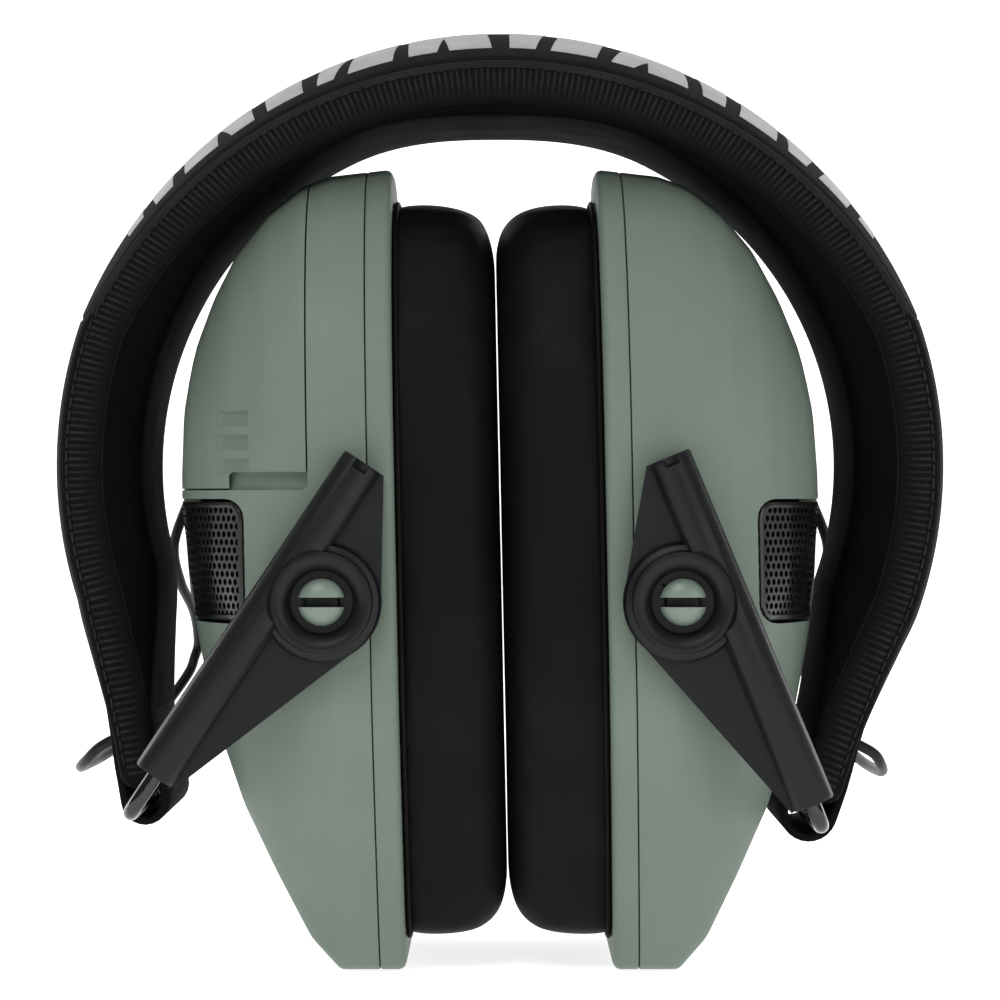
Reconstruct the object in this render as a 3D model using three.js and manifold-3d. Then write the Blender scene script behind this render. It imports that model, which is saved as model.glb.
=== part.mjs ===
// Folding electronic earmuff hearing protector, shown folded with the ear cushions face to face.
// Millimetres, +Z up, the front faces -Y, +X to the right. The origin lies midway between the two
// cups on the surface that their flat bottoms stand on.
import * as THREE from 'three';
import { mergeVertices } from 'three/addons/utils/BufferGeometryUtils.js';
import Module from 'manifold-3d';

const wasm = await Module();
wasm.setup();

const rad = THREE.MathUtils.degToRad;

// ---------------------------------------------------------------- driving dimensions
const gap = 0.3;                 // clearance between touching pieces

// Headband: an arch swept about the Y axis through archCentreZ.
const archCentreZ = 67.2;
const crestRadius = 60.9;        // outermost line of the padded band
const padInnerRadius = 48.2;     // face that lies on the head
const bandHalfWidth = 20;
const sideStart = 22;            // angle from the top where the crown ends and a side begins
const foamTop = 54.2;            // radius where the foam meets the spring
const foamThinning = 4.6;        // how much thinner the foam is at the band's very end
const foamRounding = 2.5;        // how far up its sides the foam's inner corners round off
const foamChamfer = 3;
const coverThinning = 1.4;       // how far the cover's crest sinks at the band's very end
const coverHem = 0.6;            // height of the cover's edge, where it meets the foam
const springThickness = 1;
const springHalfWidth = 13;
const loopRadius = 3.5;          // webbing loop that holds the wire
const loopHalfWidth = 17;
const loopDepth = 4.5;           // below the crest where the loop is sewn in

// Cups: u runs outward from the plane where the cushions meet.
const rimInner = 13.7;
const rimOuter = 16.9;
const shellInner = rimOuter + gap;
const shellOuter = 42.6;
const cupTop = 107.9;
const wall = 2.2;
const lean = 0.0203;             // the folded pair of cups leans: its tops stand to the left
const leanOffset = 1.3;

// Arms, wires and pivots.
const pivotU = 23.2;
const pivotZ = 49.4;
const armInnerY = 38.8;          // arms lie flat on the cup's front and rear, from here outward
const webThickness = 2.6;
const tubeOffset = 5.4;          // from the pivot to the axis of the wire
const tubeWidth = 6;
const tubeDepth = 4.8;
const tubeUp = 17.9;             // from the pivot's foot to the tube's open end
const tubeDown = 30.3;
const wireRadius = 1;
const boreRadius = 1.4;
const bossRadius = 7.7;
const studRadius = 3;
const shaftRadius = 2.1;
const wireY = armInnerY + tubeDepth / 2;

// Each side's posture in the fold: how far the wires splay and how far they stand out of the arms.
const posture = {
  left: { side: -1, splay: 33.7, reach: 36.3, arcEnd: 106, curl: -5, endLength: 22 },
  right: { side: 1, splay: 22.6, reach: 33.5, arcEnd: 110, curl: 2, endLength: 20 },
};

// ---------------------------------------------------------------- materials
const finishes = {
  shellGreen: [0x75877a, 0.55, 0],
  armBlack: [0x1b1c1f, 0.5, 0],
  cushionBlack: [0x15120f, 0.6, 0],
  fabricBlack: [0x161517, 0.95, 0],
  foamGrey: [0x2c2c2e, 1, 0],
  steel: [0xb8bcc0, 0.3, 1],
  brassPlate: [0xb99a55, 0.4, 1],
  boardGreen: [0x1f5a3a, 0.6, 0],
  grilleBlack: [0x101012, 0.5, 0.6],
  cableBlack: [0x121213, 0.45, 0],
  batteryJacket: [0x3c4046, 0.4, 0.2],
};

const earmuff = new THREE.Group();

function material(finish) {
  const [color, roughness, metalness] = finishes[finish];
  return new THREE.MeshStandardMaterial({ color, roughness, metalness });
}

function add(name, geometry, finish, parent = earmuff) {
  const mesh = new THREE.Mesh(geometry, material(finish));
  mesh.name = name;
  parent.add(mesh);
  return mesh;
}

// ---------------------------------------------------------------- solids
function welded(geometry) {
  const bare = geometry.clone();
  bare.deleteAttribute('normal');
  bare.deleteAttribute('uv');
  return mergeVertices(bare, 1e-4);
}

function toSolid(geometry) {
  const mesh = welded(geometry);
  return new wasm.Manifold(new wasm.Mesh({
    numProp: 3,
    vertProperties: new Float32Array(mesh.attributes.position.array),
    triVerts: new Uint32Array(mesh.index.array),
  }));
}

function toGeometry(solid) {
  const mesh = solid.getMesh();
  const geometry = new THREE.BufferGeometry();
  geometry.setAttribute('position', new THREE.BufferAttribute(mesh.vertProperties, 3));
  geometry.setIndex(new THREE.BufferAttribute(mesh.triVerts, 1));
  return geometry;
}

function joined(...geometries) {
  return toGeometry(geometries.map(toSolid).reduce((a, b) => a.add(b)));
}

function cut(geometry, ...tools) {
  return toGeometry(tools.map(toSolid).reduce((a, b) => a.subtract(b), toSolid(geometry)));
}

function common(geometry, tool) {
  return toGeometry(toSolid(geometry).intersect(toSolid(tool)));
}

// Turns every face of a closed solid outward, whichever way it was wound.
function facingOut(geometry) {
  const position = geometry.attributes.position;
  const index = geometry.index.array;
  const [a, b, c] = [new THREE.Vector3(), new THREE.Vector3(), new THREE.Vector3()];
  let volume = 0;
  for (let i = 0; i < index.length; i += 3) {
    a.fromBufferAttribute(position, index[i]);
    b.fromBufferAttribute(position, index[i + 1]);
    c.fromBufferAttribute(position, index[i + 2]);
    volume += a.dot(b.cross(c));
  }
  if (volume < 0) {
    for (let i = 0; i < index.length; i += 3) [index[i], index[i + 1]] = [index[i + 1], index[i]];
  }
  return geometry;
}

// A closed skin through rings of equally many points.
function skin(rings) {
  const count = rings[0].length;
  const points = rings.flat();
  const faces = [];
  for (let r = 0; r + 1 < rings.length; r++) {
    for (let i = 0; i < count; i++) {
      const a = r * count + i;
      const b = r * count + (i + 1) % count;
      faces.push(a, b, b + count, a, b + count, a + count);
    }
  }
  const last = (rings.length - 1) * count;
  const outline = rings[0].map((p, i) => i);
  cap(rings[0]).forEach(([a, b, c]) => faces.push(outline[a], outline[c], outline[b]));
  cap(rings.at(-1)).forEach(([a, b, c]) => faces.push(last + a, last + b, last + c));
  const geometry = new THREE.BufferGeometry().setFromPoints(points);
  geometry.setIndex(faces);
  return facingOut(geometry);
}

// Triangles over one flat ring, as index triples in the ring's own turning sense.
function cap(ring) {
  const normal = new THREE.Vector3();
  ring.forEach((p, i) => normal.add(p.clone().cross(ring[(i + 1) % ring.length])));
  normal.normalize();
  const across = ring[1].clone().sub(ring[0]);
  across.addScaledVector(normal, -across.dot(normal)).normalize();
  const up = normal.clone().cross(across);
  const flat = ring.map((p) => new THREE.Vector2(p.dot(across), p.dot(up)));
  return THREE.ShapeUtils.triangulateShape(flat, []);
}

function box(sizeX, sizeY, sizeZ, x, y, z) {
  return new THREE.BoxGeometry(sizeX, sizeY, sizeZ).translate(x, y, z);
}

// A cylinder from one point to another.
function rod(radius, from, to, sides = 16, endRadius = radius) {
  const start = new THREE.Vector3(...from);
  const run = new THREE.Vector3(...to).sub(start);
  const geometry = new THREE.CylinderGeometry(endRadius, radius, run.length(), sides);
  geometry.translate(0, run.length() / 2, 0);
  const turn = new THREE.Quaternion().setFromUnitVectors(
    new THREE.Vector3(0, 1, 0), run.clone().normalize());
  return geometry.applyQuaternion(turn).translate(...from);
}

// A round cord or wire along a smooth route.
function tube(route, radius, steps, sides = 8) {
  const section = new THREE.Shape();
  for (let i = 0; i < sides; i++) {
    const angle = (i / sides) * 2 * Math.PI;
    const point = [radius * Math.cos(angle), radius * Math.sin(angle)];
    if (i === 0) section.moveTo(...point);
    else section.lineTo(...point);
  }
  return new THREE.ExtrudeGeometry(section, { steps, extrudePath: route });
}

// A body of revolution about the Y axis: pairs of radius and Y, from axis to axis.
function turned(profile, sides = 24) {
  return new THREE.LatheGeometry(profile.map((p) => new THREE.Vector2(...p)), sides);
}

// An outline in X and Z, pushed from one Y to another.
function plate(shape, fromY, toY, curveSegments = 8) {
  const options = { depth: toY - fromY, bevelEnabled: false, curveSegments };
  return new THREE.ExtrudeGeometry(shape, options).rotateX(Math.PI / 2).translate(0, toY, 0);
}

// The same solid on the other side of the plane where X is zero.
function mirrored(geometry) {
  return facingOut(welded(geometry).scale(-1, 1, 1));
}

// ---------------------------------------------------------------- headband
// A station of the band: a point at the given radius and angle from the top, or past the end
// angle, on the straight end that leaves the arch there.
function station({ side, arcEnd, curl }, distance) {
  const arcLength = rad(arcEnd) * crestRadius;
  const past = Math.max(0, distance - arcLength);
  const angle = Math.min(distance, arcLength) / crestRadius;
  const turn = angle + rad(curl) * (past > 0 ? 1 : 0);
  const outward = new THREE.Vector3(Math.sin(turn) * side, 0, Math.cos(turn));
  const along = new THREE.Vector3(Math.cos(turn) * side, 0, -Math.sin(turn));
  const crest = new THREE.Vector3(Math.sin(angle) * side, 0, Math.cos(angle))
    .multiplyScalar(crestRadius)
    .add(new THREE.Vector3(0, 0, archCentreZ));
  return { crest: crest.addScaledVector(along, past), outward, past };
}

// Sweeps a section along the band between two distances. A section is a list of Y and depth
// below the crest; it may thin out towards the band's end.
function bandSweep(run, from, to, steps, section) {
  const rings = [];
  for (let i = 0; i <= steps; i++) {
    const { crest, outward, past } = station(run, from + ((to - from) * i) / steps);
    const thinning = past / (run.endLength ?? 1);
    rings.push(section(thinning).map(([y, depth]) =>
      crest.clone().addScaledVector(outward, -depth).setY(y)));
  }
  return skin(rings);
}

const springDepth = crestRadius - foamTop - gap - springThickness;
const padDepth = crestRadius - padInnerRadius;

function foamSection(thinning) {
  const bottom = padDepth - thinning * foamThinning;
  const top = crestRadius - foamTop;
  const w = bandHalfWidth;
  const edge = bottom - Math.min(foamRounding, (bottom - top) / 2);
  const flat = w - foamChamfer;
  return [[-w, top], [w, top], [w, edge], [flat, bottom], [-flat, bottom], [-w, edge]];
}

function springSection() {
  const top = springDepth;
  const bottom = springDepth + springThickness;
  const w = springHalfWidth;
  return [[-w, top], [w, top], [w, bottom], [-w, bottom]];
}

function coverSection(thinning) {
  const flatten = thinning * coverThinning;
  const bottom = springDepth - gap;
  const w = bandHalfWidth;
  const crowned = [[w, bottom - coverHem], [w * 0.72, 2.4 + flatten], [w * 0.38, 0.7 + flatten]];
  const rear = crowned.slice().reverse();
  const front = crowned.map(([y, depth]) => [-y, depth]);
  return [...front, [0, flatten], ...rear, [w * 0.9, bottom], [-w * 0.9, bottom]];
}

const sections = {
  spring: [springSection, 'steel'],
  foam: [foamSection, 'foamGrey'],
  cover: [coverSection, 'fabricBlack'],
};

const crownReach = rad(sideStart) * crestRadius;
for (const [piece, [section, finish]] of Object.entries(sections)) {
  const crown = { side: 1, arcEnd: 90, curl: 0 };
  const geometry = bandSweep(crown, -crownReach, crownReach, 6, section);
  add(`crown_${piece}`, geometry, finish);
}

// The padded end of each side and the loop of webbing, sewn to it, that hangs on the wire.
function buildSide(name) {
  const { arcEnd, endLength } = posture[name];
  const start = crownReach + gap;
  const end = rad(arcEnd) * crestRadius + endLength;
  for (const [piece, [section, finish]] of Object.entries(sections)) {
    add(`${name}_${piece}`, bandSweep(posture[name], start, end, 16, section), finish);
  }
  const { crest, outward } = station(posture[name], end + 2 * gap);
  const [x, z] = hingePoint(name);
  const root = crest.clone().addScaledVector(outward, -loopDepth);
  const toEnd = root.clone().sub(new THREE.Vector3(x, 0, z));
  const shape = loopShape(toEnd.length() - 2 * gap);
  const loop = plate(shape, -loopHalfWidth, loopHalfWidth, 5);
  loop.rotateY(Math.atan2(toEnd.x, toEnd.z)).translate(x, 0, z);
  add(`${name}_end_loop`, loop, 'fabricBlack');
}

// A webbing loop round the wire, with its two plies running up to the band.
function loopShape(rise) {
  const shape = new THREE.Shape();
  shape.moveTo(loopRadius, 0);
  shape.lineTo(loopRadius, rise);
  shape.lineTo(-loopRadius, rise);
  shape.lineTo(-loopRadius, 0);
  shape.absarc(0, 0, loopRadius, Math.PI, 2 * Math.PI);
  const eye = new THREE.Path();
  eye.absarc(0, 0, boreRadius, 0, 2 * Math.PI, true);
  shape.holes.push(eye);
  return shape;
}

// Where the wire crosses under the band's end, as X and Z.
function hingePoint(name) {
  const { side, splay, reach } = posture[name];
  const [c, s] = [Math.cos(rad(splay)), Math.sin(rad(splay))];
  const pivotX = leanOffset - lean * pivotZ + side * pivotU;
  return [pivotX + side * (tubeOffset * c + reach * s), pivotZ + tubeOffset * s - reach * c];
}

// ---------------------------------------------------------------- cups
// The cup's outline at a distance u from the meeting plane: a flat bottom, flared flanks and a
// round top. The wall draws in towards the outer face.
const levels = [
  // u, bottom, top, half width
  [13.7, 0.2, 107.4, 37.4],
  [14.6, 0, 107.9, 38],
  [22.4, 0, 107, 38],
  [26.2, 4.2, 105.6, 37.4],
  [30.5, 12.6, 102.2, 36.4],
  [34.8, 21.6, 97, 33.4],
  [38.2, 31.5, 90.6, 29],
  [40.8, 43, 84, 24.6],
  [42.3, 51, 77, 20.5],
  [42.6, 57, 70, 17],
];

function outline(u, bottom, top, halfWidth) {
  const tall = top - bottom;
  const foot = halfWidth * 0.62;
  const shoulder = bottom + tall * 0.33;
  const spring = bottom + tall * 0.6;
  const half = [[foot, bottom], [foot + halfWidth * 0.06, bottom + tall * 0.015]];
  half.push([halfWidth * 0.985, shoulder - tall * 0.02], [halfWidth, shoulder + tall * 0.04]);
  const arcSteps = 7;
  for (let i = 0; i < arcSteps; i++) {
    const angle = (i / arcSteps) * (Math.PI / 2);
    half.push([halfWidth * Math.cos(angle) ** 0.75,
      spring + (top - spring) * Math.sin(angle) ** 0.85]);
  }
  const ring = half.concat([[0, top]], half.slice().reverse().map(([y, z]) => [-y, z]));
  return ring.map(([y, z]) => new THREE.Vector3(u, y, z));
}

// The cup's form from one u to another, drawn in by an inset all round.
function cupForm(fromU, toU, inset = 0) {
  const between = (u) => {
    const at = levels.findIndex((level) => level[0] >= u - 1e-6);
    if (at <= 0) return levels[0];
    const [low, high] = [levels[at - 1], levels[at]];
    const share = (u - low[0]) / (high[0] - low[0]);
    return low.map((value, i) => value + share * (high[i] - value));
  };
  const stops = [fromU, ...levels.map((l) => l[0]).filter((u) => u > fromU + 0.2 && u < toU - 0.2),
    toU];
  return skin(stops.map((u) => {
    const [, bottom, top, halfWidth] = between(u);
    return outline(u - (u === fromU ? 0 : inset), bottom + inset, top - inset, halfWidth - inset);
  }));
}

// A point of the upright cup where it lies once the cup has leaned.
function leaned(name, [u, y, z]) {
  return [leanOffset - lean * z + posture[name].side * u, y, z];
}

// Leans a solid made in the cup's upright frame, and puts it on its side of the meeting plane.
function onCup(name, geometry) {
  const leaning = new THREE.Matrix4().set(
    1, 0, -lean, leanOffset, 0, 1, 0, 0, 0, 0, 1, 0, 0, 0, 0, 1);
  const placed = posture[name].side < 0 ? mirrored(geometry) : geometry.clone();
  return placed.applyMatrix4(leaning);
}

// A vertical stadium through the cup from one u to another, as an opening or an insert.
function oval(fromU, toU, centreZ, halfWidth, halfHeight, segments = 8) {
  const shape = new THREE.Shape();
  const straight = halfHeight - halfWidth;
  shape.absarc(0, straight, halfWidth, 0, Math.PI);
  shape.absarc(0, -straight, halfWidth, Math.PI, 2 * Math.PI);
  const options = { depth: toU - fromU, bevelEnabled: false, curveSegments: segments };
  const geometry = new THREE.ExtrudeGeometry(shape, options);
  geometry.applyMatrix4(new THREE.Matrix4().set(0, 0, 1, fromU, 1, 0, 0, 0, 0, 1, 0, centreZ,
    0, 0, 0, 1));
  return geometry;
}

const earZ = 53.8;               // middle of the cup's height
const earOpening = { halfWidth: 16.5, halfHeight: 29 };
const rimOpening = { halfWidth: 21, halfHeight: 40 };
const cushion = { lowZ: 4, topZ: 103.6, halfWidth: 36 };
const speakerZ = 36;
const speakerPlate = 1.7;        // thickness of the plate that carries the speaker
const microphone = { from: [36.2, -22, 54.5], to: [33.6, -20, 54.5], radius: 3 };
const boot = { radius: 2.2, tipRadius: 1.5, rootDistance: -2, tipDistance: 8 };
const bootY = 23;
const bootZ = 69;
const jackU = 27;
const jackY = 8;
const jackRadius = 2.9;
const batteryU = 29;
const batteryY = [-9.8, 1.4];
const batteryLowZ = 48.6;
const grilleZ = [46.6, 62.4];
const grilleU = 33.6;
const grilleRearY = -13;
const grilleThickness = 0.9;
const door = { u: 25, rearY: 8, lowZ: 64, thickness: 1.6, recessU: 35, recessHeight: 1.9 };
const knob = { u: 38, y: 23.5, z: 84, radius: 6.5, height: 3.4 };

// The corner of the cup that the microphone's grille fills, or with a margin, its window.
function grilleBlock(margin) {
  const [low, high] = grilleZ;
  return box(12 + margin, 40 + grilleRearY + margin, high - low + 2 * margin,
    grilleU - margin / 2 + 6, (grilleRearY - 40 + margin) / 2, (low + high) / 2);
}

// The quarter of the cup that the battery door covers, or with a margin, its opening.
function doorBlock(margin) {
  const height = cupTop + 5 - door.lowZ + margin;
  const width = 42 + door.rearY + margin;
  return box(20 + margin, width, height, door.u - margin / 2 + 10,
    door.rearY + margin - width / 2, door.lowZ - margin + height / 2);
}

// The finger recess under the door's lower edge, with a margin all round and a drop below it.
function recessBlock(margin, drop = margin) {
  const { u, lowZ, recessU, recessHeight } = door;
  return box(recessU - u + 2 * margin, 50, recessHeight + margin + drop, (u + recessU) / 2, -35,
    lowZ + (recessHeight + margin - drop) / 2);
}

// A rounded square ring: the cushion's section is full at the rim and rounds off at the face.
function cushionForm() {
  const rings = [[rimInner - gap, 0], [5, 0.4], [2.2, 1.6], [0.15, 4.6]].map(([u, draw]) =>
    outline(u, cushion.lowZ + draw, cushion.topZ - draw, cushion.halfWidth - draw));
  const { halfWidth, halfHeight } = earOpening;
  return cut(skin(rings), oval(-1, rimInner + 1, earZ, halfWidth, halfHeight));
}

function buildCup(name, group) {
  const place = (part, geometry, finish) =>
    add(`${name}_${part}`, onCup(name, geometry), finish, group);
  const hollow = cupForm(shellInner - 1, shellOuter, wall);
  const studHoles = [-1, 1].map((s) =>
    rod(shaftRadius + 0.2, [pivotU, s * 30, pivotZ], [pivotU, s * 45, pivotZ]));
  const openings = [grilleBlock(gap), ...studHoles];
  openings.push(rod(boot.radius + gap, bootPoint(boot.rootDistance - gap - 0.1), bootPoint(9), 12));
  openings.push(rod(1.3, [36, bootY - 4, bootZ], bootPoint(-1), 8));
  let shell = cut(cupForm(shellInner, shellOuter), hollow);
  if (name === 'left') {
    const scoop = cut(recessBlock(0), cupForm(shellInner - 1, shellOuter, 1.2));
    openings.push(cut(doorBlock(gap), recessBlock(0, 1)), scoop);
  } else {
    const seat = common(rod(knob.radius + 2, knobPoint(-5), knobPoint(5), 24),
      cupForm(shellInner, shellOuter));
    shell = joined(shell, seat);
    openings.push(rod(knob.radius + 0.5, knobPoint(-2), knobPoint(9), 24));
    openings.push(rod(1.6, knobPoint(-9), knobPoint(2), 12));
    openings.push(rod(jackRadius + gap, [jackU, jackY, -3], [jackU, jackY, 22], 16));
  }
  place('shell', cut(shell, ...openings), 'shellGreen');

  const { halfWidth, halfHeight } = rimOpening;
  const rim = cut(cupForm(rimInner, rimOuter), oval(10, 20, earZ, halfWidth, halfHeight));
  place('rim', rim, 'shellGreen');
  place('cushion', cushionForm(), 'cushionBlack');

  const skinLayer = cut(cupForm(shellInner, shellOuter), cupForm(shellInner - 1, shellOuter,
    grilleThickness));
  place('mic_grille', common(skinLayer, grilleBlock(0)), 'grilleBlack');
  place('microphone', rod(microphone.radius, microphone.from, microphone.to, 16), 'brassPlate');

  const plateU = rimOuter + gap;
  place('speaker_plate', cut(oval(plateU, plateU + speakerPlate, earZ, 28, 44),
    rod(15, [15, 0, speakerZ], [20, 0, speakerZ], 24)), 'armBlack');
  place('speaker', turnedAlongU([[0, 0], [18, 0], [18, 1.2], [12, 2.2], [9, 5.6], [0, 5.6]],
    plateU + speakerPlate + 0.4, speakerZ), 'steel');
  place('speaker_foam', oval(rimInner, rimOuter - gap, earZ, halfWidth - 0.4, halfHeight - 0.4),
    'foamGrey');
  for (const [where, s] of [['front', -1], ['rear', 1]]) {
    place(`${where}_stud`, stud(s), 'shellGreen');
  }
  place('lead_boot', rod(boot.radius, bootPoint(boot.rootDistance), bootPoint(boot.tipDistance), 12,
    boot.tipRadius), 'cableBlack');
}

// A point on the axis of the boot that the lead leaves the cup by, a distance out of the shell.
function bootPoint(distance) {
  return [41.6 + distance * 0.42, bootY + distance * 0.45, bootZ - distance * 0.79];
}

function knobPoint(distance) {
  return [knob.u + distance * 0.86, knob.y + distance * 0.44, knob.z + distance * 0.26];
}

function turnedAlongU(profile, u, z, sides = 24) {
  return turned(profile, sides).rotateZ(-Math.PI / 2).translate(u, 0, z);
}

// A slotted stud: its head sits in the arm's dished boss and its shaft holds in the shell.
function stud(s) {
  const headY = armInnerY + 1.6;
  const profile = [[0, 33], [shaftRadius + 1.4, 33], [shaftRadius + 1.4, 34.6], [shaftRadius, 34.6],
    [shaftRadius, headY], [studRadius, headY], [studRadius, headY + 1.2],
    [studRadius - 0.5, headY + 1.7], [0, headY + 1.9]];
  const slot = box(2 * studRadius + 1, 1.6, 1.2, 0, headY + 2, 0);
  const solid = cut(turned(profile, 20), slot);
  return (s < 0 ? solid.rotateX(Math.PI) : solid).translate(pivotU, 0, pivotZ);
}

function buildPower(group) {
  const place = (part, geometry, finish) =>
    add(`left_${part}`, onCup('left', geometry), finish, group);
  const doorSkin = cut(cupForm(shellInner, shellOuter),
    cupForm(shellInner - 1, shellOuter, door.thickness));
  const lid = cut(common(doorSkin, doorBlock(0)), recessBlock(gap));
  place('battery_door', lid, 'shellGreen');
  batteryY.forEach((y, i) => {
    const cell = turned([[0, 0], [5.25, 0], [5.25, 43.6], [1.9, 43.6], [1.9, 44.5], [0, 44.5]], 16);
    cell.rotateX(Math.PI / 2).translate(batteryU, y, batteryLowZ);
    place(`battery_${i + 1}`, cell, 'batteryJacket');
    const coil = turned([[0, 0], [3.6, 0], [1.6, 2.2], [0, 2.2]], 12);
    coil.rotateX(Math.PI / 2).translate(batteryU, y, batteryLowZ - 2.6);
    place(`battery_spring_${i + 1}`, coil, 'steel');
  });
  const plateLength = batteryY[1] - batteryY[0] + 8;
  const middle = (batteryY[0] + batteryY[1]) / 2;
  place('battery_contact', box(5, plateLength - 4, 0.6, batteryU - 1, middle,
    batteryLowZ + 45.2), 'brassPlate');
  place('battery_tray', box(1.2, plateLength + 4, 44, batteryU - 6.2, middle,
    batteryLowZ + 24), 'armBlack');
}

function buildControls(group) {
  const place = (part, geometry, finish) =>
    add(`right_${part}`, onCup('right', geometry), finish, group);
  const onAxis = (distance) => leaned('right', knobPoint(distance));
  const dial = rod(knob.radius, onAxis(-1.7), onAxis(-1.7 + knob.height), 28);
  const [x, y, z] = onAxis(-1.7 + knob.height);
  const pointer = rod(0.6, [x, y - 1.5, z + 2.6], [x, y - 3.6, z + 6.1], 8);
  const shaft = rod(1.2, onAxis(-6), onAxis(-1), 10);
  add('right_volume_knob', cut(joined(dial, shaft), pointer), 'armBlack', group);
  place('volume_control', cut(rod(4.6, knobPoint(-9.5), knobPoint(-5.4), 16),
    rod(1.6, knobPoint(-7), knobPoint(-5), 10)), 'steel');
  place('circuit_board', box(1.6, 40, 46, 24, 0, 70), 'boardGreen');
  const jack = cut(rod(jackRadius, [jackU, jackY, 6.2], [jackU, jackY, 18], 16),
    rod(1.8, [jackU, jackY, 5], [jackU, jackY, 15], 12));
  place('audio_jack', jack, 'armBlack');
}

// ---------------------------------------------------------------- arms and wires
// The tangent point, as an angle, from an outside point to the boss's circle.
function tangentAngle(x, z, sense) {
  return Math.atan2(z, x) + sense * Math.acos(bossRadius / Math.hypot(x, z));
}

// The rear arm of the right cup, hanging straight down about its pivot.
function armSolid() {
  const inner = tubeOffset - tubeWidth / 2;
  const outer = tubeOffset + tubeWidth / 2;
  const shape = new THREE.Shape();
  shape.moveTo(inner, tubeUp);
  shape.lineTo(outer, tubeUp);
  shape.lineTo(outer, -tubeDown);
  shape.lineTo(inner, -tubeDown);
  shape.absarc(0, 0, bossRadius, tangentAngle(inner, -tubeDown, -1),
    tangentAngle(inner, tubeUp, 1) - 2 * Math.PI, true);
  const y = armInnerY;
  const web = plate(shape, y, y + webThickness, 6);
  const tubeBlock = box(tubeWidth, tubeDepth, tubeUp + tubeDown, tubeOffset, y + tubeDepth / 2,
    (tubeUp - tubeDown) / 2);
  const boss = turned([[0, y], [bossRadius, y], [bossRadius, y + 3], [6.6, y + 4.1], [0, y + 4.1]]);
  const dish = turned([[0, y + 1.4], [3.9, y + 1.4], [4.6, y + 5], [0, y + 5]]);
  const hole = rod(shaftRadius + gap, [0, y - 1, 0], [0, y + 5, 0], 20);
  const bore = rod(boreRadius, [tubeOffset, wireY, -tubeDown - 1], [tubeOffset, wireY, tubeUp + 1],
    8);
  const notch = box(2.4, 3, 3, tubeOffset, y + tubeDepth, tubeUp);
  return cut(joined(web, tubeBlock, boss), dish, hole, bore, notch);
}

function buildArms(name, group) {
  const { side, splay } = posture[name];
  const pivotX = leanOffset - lean * pivotZ + side * pivotU;
  const pose = (geometry) => {
    const handed = side < 0 ? mirrored(geometry) : geometry.clone();
    return handed.rotateY(rad(-side * splay)).translate(pivotX, 0, pivotZ);
  };
  const rear = armSolid();
  const front = facingOut(rear.clone().scale(1, -1, 1));
  add(`${name}_rear_arm`, pose(rear), 'armBlack', group.arms);
  add(`${name}_front_arm`, pose(front), 'armBlack', group.arms);
  add(`${name}_wire`, pose(wireSolid(posture[name].reach)), 'steel', group.bail);
}

// A wire bail: two legs up inside the arms and a crossbar between them, with rounded corners.
function wireSolid(reach) {
  const bend = 3;
  const top = tubeUp - 4;
  const pieces = [rod(wireRadius, [tubeOffset, -wireY + bend, -reach],
    [tubeOffset, wireY - bend, -reach], 8)];
  for (const s of [-1, 1]) {
    pieces.push(rod(wireRadius, [tubeOffset, s * wireY, bend - reach], [tubeOffset, s * wireY, top],
      8));
    const corner = new THREE.QuadraticBezierCurve3(
      new THREE.Vector3(tubeOffset, s * wireY, bend + 0.2 - reach),
      new THREE.Vector3(tubeOffset, s * wireY, -reach),
      new THREE.Vector3(tubeOffset, s * (wireY - bend - 0.2), -reach));
    pieces.push(tube(corner, wireRadius, 5));
  }
  return joined(...pieces);
}

// ---------------------------------------------------------------- leads
// Each lead leaves its cup by the boot, passes behind the rear arm, loops out round the band's
// end and goes in through its outer face.
const leadRadius = 0.75;
const leadRoutes = {
  left: [[-47.4, 29, 56], [-46.9, 34.5, 50.5], [-45.4, 41, 46], [-45, 44.5, 41.5],
    [-45.6, 44.5, 39], [-46.6, 44.5, 36.5], [-50.2, 41.5, 31.5], [-54.2, 34, 27.8], [-57.2, 25, 25.6],
    [-58.6, 15, 25], [-58.6, 6.5, 25.2], [-57.3, 1, 26.4], [-54.9, -1, 28.6]],
  right: [[47.6, 29, 56], [47.4, 34.5, 50.5], [46, 41, 46], [45.2, 44.5, 41.5],
    [45.3, 44.5, 39], [45.6, 44.5, 36.5], [47.4, 41.5, 31], [49.9, 34, 27.2], [52, 25, 25],
    [53.2, 15, 24.3], [53.4, 6.5, 24.6], [52.8, 1.3, 25.8], [51.2, -1, 27.8]],
};

function buildLead(name) {
  const points = [leaned(name, bootPoint(boot.tipDistance + gap)), ...leadRoutes[name]];
  const route = points.map((p) => new THREE.Vector3(...p));
  const curve = new THREE.CatmullRomCurve3(route, false, 'centripetal');
  add(`${name}_lead`, tube(curve, leadRadius, 34), 'cableBlack');
}

// ---------------------------------------------------------------- assembly
for (const name of ['left', 'right']) {
  buildSide(name);
  buildLead(name);
  const bail = new THREE.Group();
  const arms = new THREE.Group();
  const cup = new THREE.Group();
  earmuff.add(bail);
  bail.add(arms);
  arms.add(cup);
  buildArms(name, { bail, arms });
  buildCup(name, cup);
  if (name === 'left') buildPower(cup);
  else buildControls(cup);
}

export default earmuff;
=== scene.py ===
"""Folding electronic earmuff hearing protector, folded with its ear cushions face to face.

Lengths in the shape code are millimetres in the row frame (+Z up, the front faces -Y) and
become metres where a mesh is made.
"""

import math

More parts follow.
